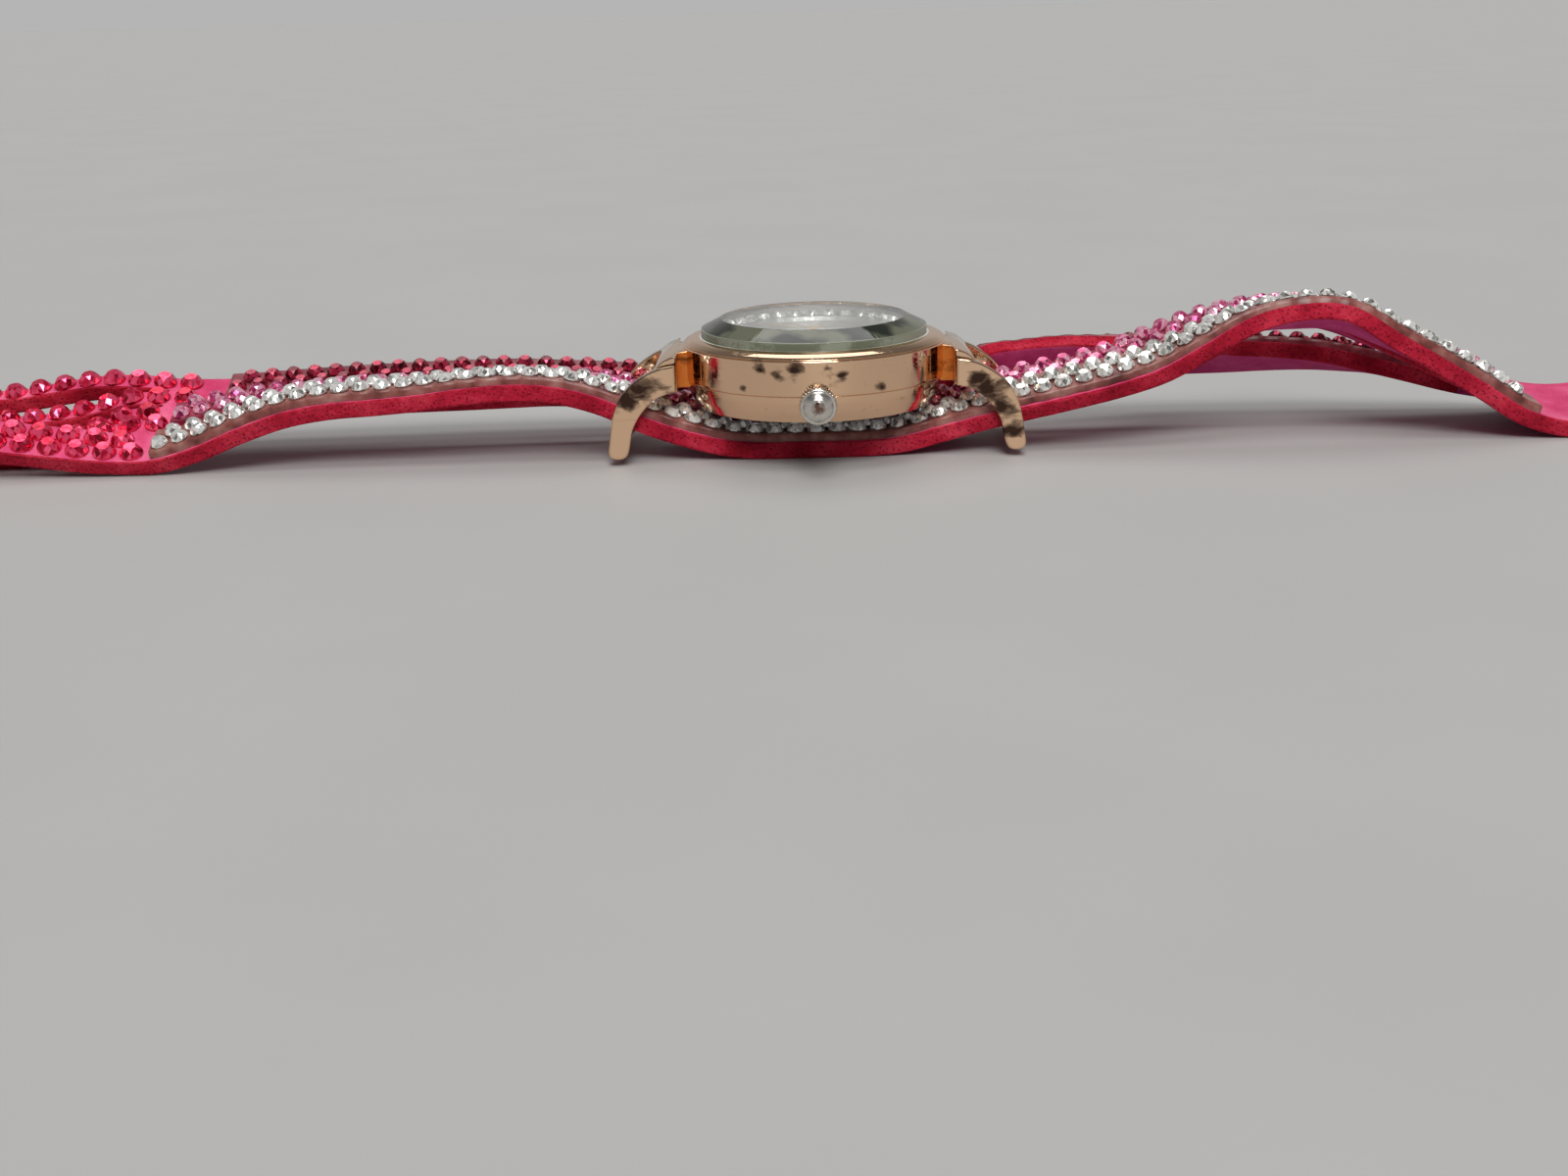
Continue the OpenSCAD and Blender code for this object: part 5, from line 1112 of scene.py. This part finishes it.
brass = plain_metal("plate_brass", (0.80, 0.66, 0.38), (0.66, 0.52, 0.27), 0.25)
wheel_brass = plain_metal("wheel_brass", (0.86, 0.70, 0.36), (0.74, 0.57, 0.26), 0.12)
plain_steel = plain_metal("plain_steel", (0.66, 0.66, 0.67), (0.48, 0.48, 0.50), 0.2)
core_iron = plain_metal("core_iron", (0.52, 0.52, 0.53), (0.38, 0.38, 0.40), 0.35)
magnet = plain_metal("sintered_magnet", (0.22, 0.22, 0.24), (0.13, 0.13, 0.14), 0.45)
cell_steel = plain_metal("cell_steel", (0.78, 0.78, 0.79), (0.64, 0.64, 0.66), 0.16)
holder = plain_metal("holder_plastic", (0.82, 0.82, 0.78), (0.72, 0.72, 0.68), 0.45, metallic=0.0)
rubber = plain_metal("black_rubber", (0.03, 0.03, 0.03), (0.015, 0.015, 0.015), 0.6, metallic=0.0)
board, tree, shader, place = finish_of("green_board")
trace = node(tree, "TexVoronoi", {"feature": "DISTANCE_TO_EDGE"}, Vector=place, Scale=900).outputs[0]
tint = ramp(tree, trace, (0.04, (0.10, 0.36, 0.16)), (0.09, (0.03, 0.17, 0.08)))
feed(tree, shader, Base_Color=tint, Roughness=0.35, Coat_Weight=0.5, Coat_Roughness=0.2)
copper, tree, shader, place = finish_of("copper_wire")
turns = node(tree, "TexWave", {"bands_direction": "X"}, Vector=place, Scale=1600).outputs[1]
tint = ramp(tree, turns, (0.2, (0.32, 0.09, 0.03)), (0.8, (0.76, 0.32, 0.13)))
feed(tree, shader, Base_Color=tint, Metallic=0.8, Roughness=0.3, Normal=relief(tree, 0.8, 1e-5, turns))
# the nodes that wear each finish
KEPT = {brass: ["mainplate", "train_bridge", "cell_clamp"],
        wheel_brass: ["intermediate_wheel", "seconds_wheel", "third_wheel", "centre_wheel",
                      "minute_wheel", "hour_wheel"],
        plain_steel: ["case_tube", "stem", "clutch_wheel", "spring_bar_left", "spring_bar_right",
                      "bar_tip_left_near", "bar_tip_left_far", "bar_tip_right_near", "bar_tip_right_far",
                      "bar_spring_left", "bar_spring_right"],
        core_iron: ["coil_core", "stator"], magnet: ["rotor"], cell_steel: ["cell"],
        holder: ["movement_ring"], rubber: ["case_back_gasket", "crown_gasket"],
        board: ["circuit_board"], copper: ["coil"]}
for finish, names in KEPT.items():
    for name in names:
        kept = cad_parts[name].data
        kept.materials.clear()
        kept.materials.append(finish)

# Snap fasteners
# Pressed nickel-plated brass, set through punched holes near the strap ends: studs with rolled heads
# at one end, sockets with domed caps at the other, two of each. Their plates cover the strap's holes.
nickel = plated_finish("nickel", (0.74, 0.74, 0.73), (0.4, 0.38, 0.34), rough=0.16, wear=0.1)
SNAP_X, SNAP_Y = (181.5, 169.0), 3.05
LEFT_Z, RIGHT_Z, POST_R = 0.6, 2.0, 0.95
# side of the case, height of the lowest point, and profile
SNAPS = {
    "stud": (-1, LEFT_Z + STRAP_T, [[0, 0], [3.9, 0], [3.9, 0.25], [3.3, 0.55], [2.3, 0.6], [1.6, 0.7],
             [1.6, 1.1], [1.9, 1.25], [1.9, 1.95], [1.4, 2.3], [0, 2.3]]),
    "post": (-1, LEFT_Z - 0.55, [[0, 0], [3.2, 0], [3.8, 0.2], [3.8, 0.55], [POST_R, 0.55],
             [POST_R, 2.45], [0, 2.45]]),
    "cap": (1, RIGHT_Z, [[0, 0], [POST_R, 0], [POST_R, STRAP_T], [4.75, STRAP_T], [4.75, STRAP_T + 0.35],
            [4.4, STRAP_T + 0.6], [3.4, STRAP_T + 0.78], [1.8, STRAP_T + 0.84], [0, STRAP_T + 0.85]]),
    "socket": (1, RIGHT_Z - 1.9, [[0, 1.5], [2.0, 1.5], [2.0, 0.0], [2.6, 0.0], [3.6, 0.4], [3.6, 1.4],
               [4.2, 1.5], [4.2, 1.9], [0, 1.9]]),
}
for kind, (end, z, line) in SNAPS.items():
    shape = turned(eased(line, 0.18, closed=False), 96, closed=False)
    pair = [(shape[0] + [end * x, SNAP_Y, z], shape[1]) for x in SNAP_X]
    snap = add_piece("snap_%s_pair" % kind, *together(*pair), [nickel], crease=35)
    dress(snap, "snap_%ss" % kind)

# Table and studio
# A plain pale table under three wide and far lights, with pale walls that only mirrors and glass
# see, as in a light tent.
table, tree, shader, place = finish_of("table_grey")
grain = noise(tree, place, Scale=25, Detail=3)
feed(tree, shader, Base_Color=ramp(tree, grain, (0.3, (0.462, 0.458, 0.448)), (0.7, (0.478, 0.474, 0.462))),
     Roughness=0.55, Specular_IOR_Level=0.25)
corners = [[-6000, -3000, 0], [6000, -3000, 0], [6000, 9000, 0], [-6000, 9000, 0]]
floor = add_piece("table_top", corners, [[0, 1, 2, 3]], [table], smooth=False)

world = bpy.data.worlds.new("studio")
world.use_nodes = True
bpy.context.scene.world = world
tree = world.node_tree
sky = tree.nodes["Background"]
# the walls, dimmer overhead
direction = node(tree, "TexCoord").outputs["Generated"]
toward = node(tree, "SeparateXYZ", i0=direction).outputs[2]
walls = ramp(tree, toward, (0.0, (0.40, 0.39, 0.38)), (0.22, (0.46, 0.455, 0.45)), (0.6, (0.16, 0.16, 0.16)))
# and the dark opening that the picture is taken through
opening = measure(tree, "DOT_PRODUCT", direction, (0.0, -0.96, 0.28))
walls = blend(tree, ramp(tree, opening, (0.955, (0,)), (0.985, (1,))), walls, (0.03, 0.025, 0.022, 1))
# mirrors and glass see the walls, all else gets a low soft fill, and the camera a plain grey
path = node(tree, "LightPath").outputs
mirror = calc(tree, "MAXIMUM", path["Is Glossy Ray"], path["Is Transmission Ray"])
soft = blend(tree, mirror, (0.085, 0.083, 0.082, 1), walls)
backdrop = blend(tree, path["Is Camera Ray"], soft, (0.46, 0.46, 0.46, 1))
feed(tree, sky, Color=backdrop, Strength=1.0)


def far_light(name, toward_light, spread_deg, strength):
    """An even light from far away: the direction it stands in, how wide it looks, and its strength."""
    data = bpy.data.lights.new(name, "SUN")
    data.angle, data.energy = math.radians(spread_deg), strength
    made = bpy.data.objects.new(name, data)
    bpy.context.scene.collection.objects.link(made)
    back = np.array(toward_light, float) / np.linalg.norm(toward_light)
    right = np.cross([0, 1.0, 0.2], back)
    right /= np.linalg.norm(right)
    m = np.eye(4)
    m[:3, 0], m[:3, 1], m[:3, 2] = right, np.cross(back, right), back
    made.matrix_world = Matrix(m)


far_light("high_light", (0.0, -0.30, 1.0), 24, 0.88)
far_light("front_light", (0.10, -1.05, 1.0), 26, 1.91)
far_light("back_light", (0.0, 0.50, 1.0), 40, 0.72)
bpy.context.scene.view_settings.view_transform = "Standard"
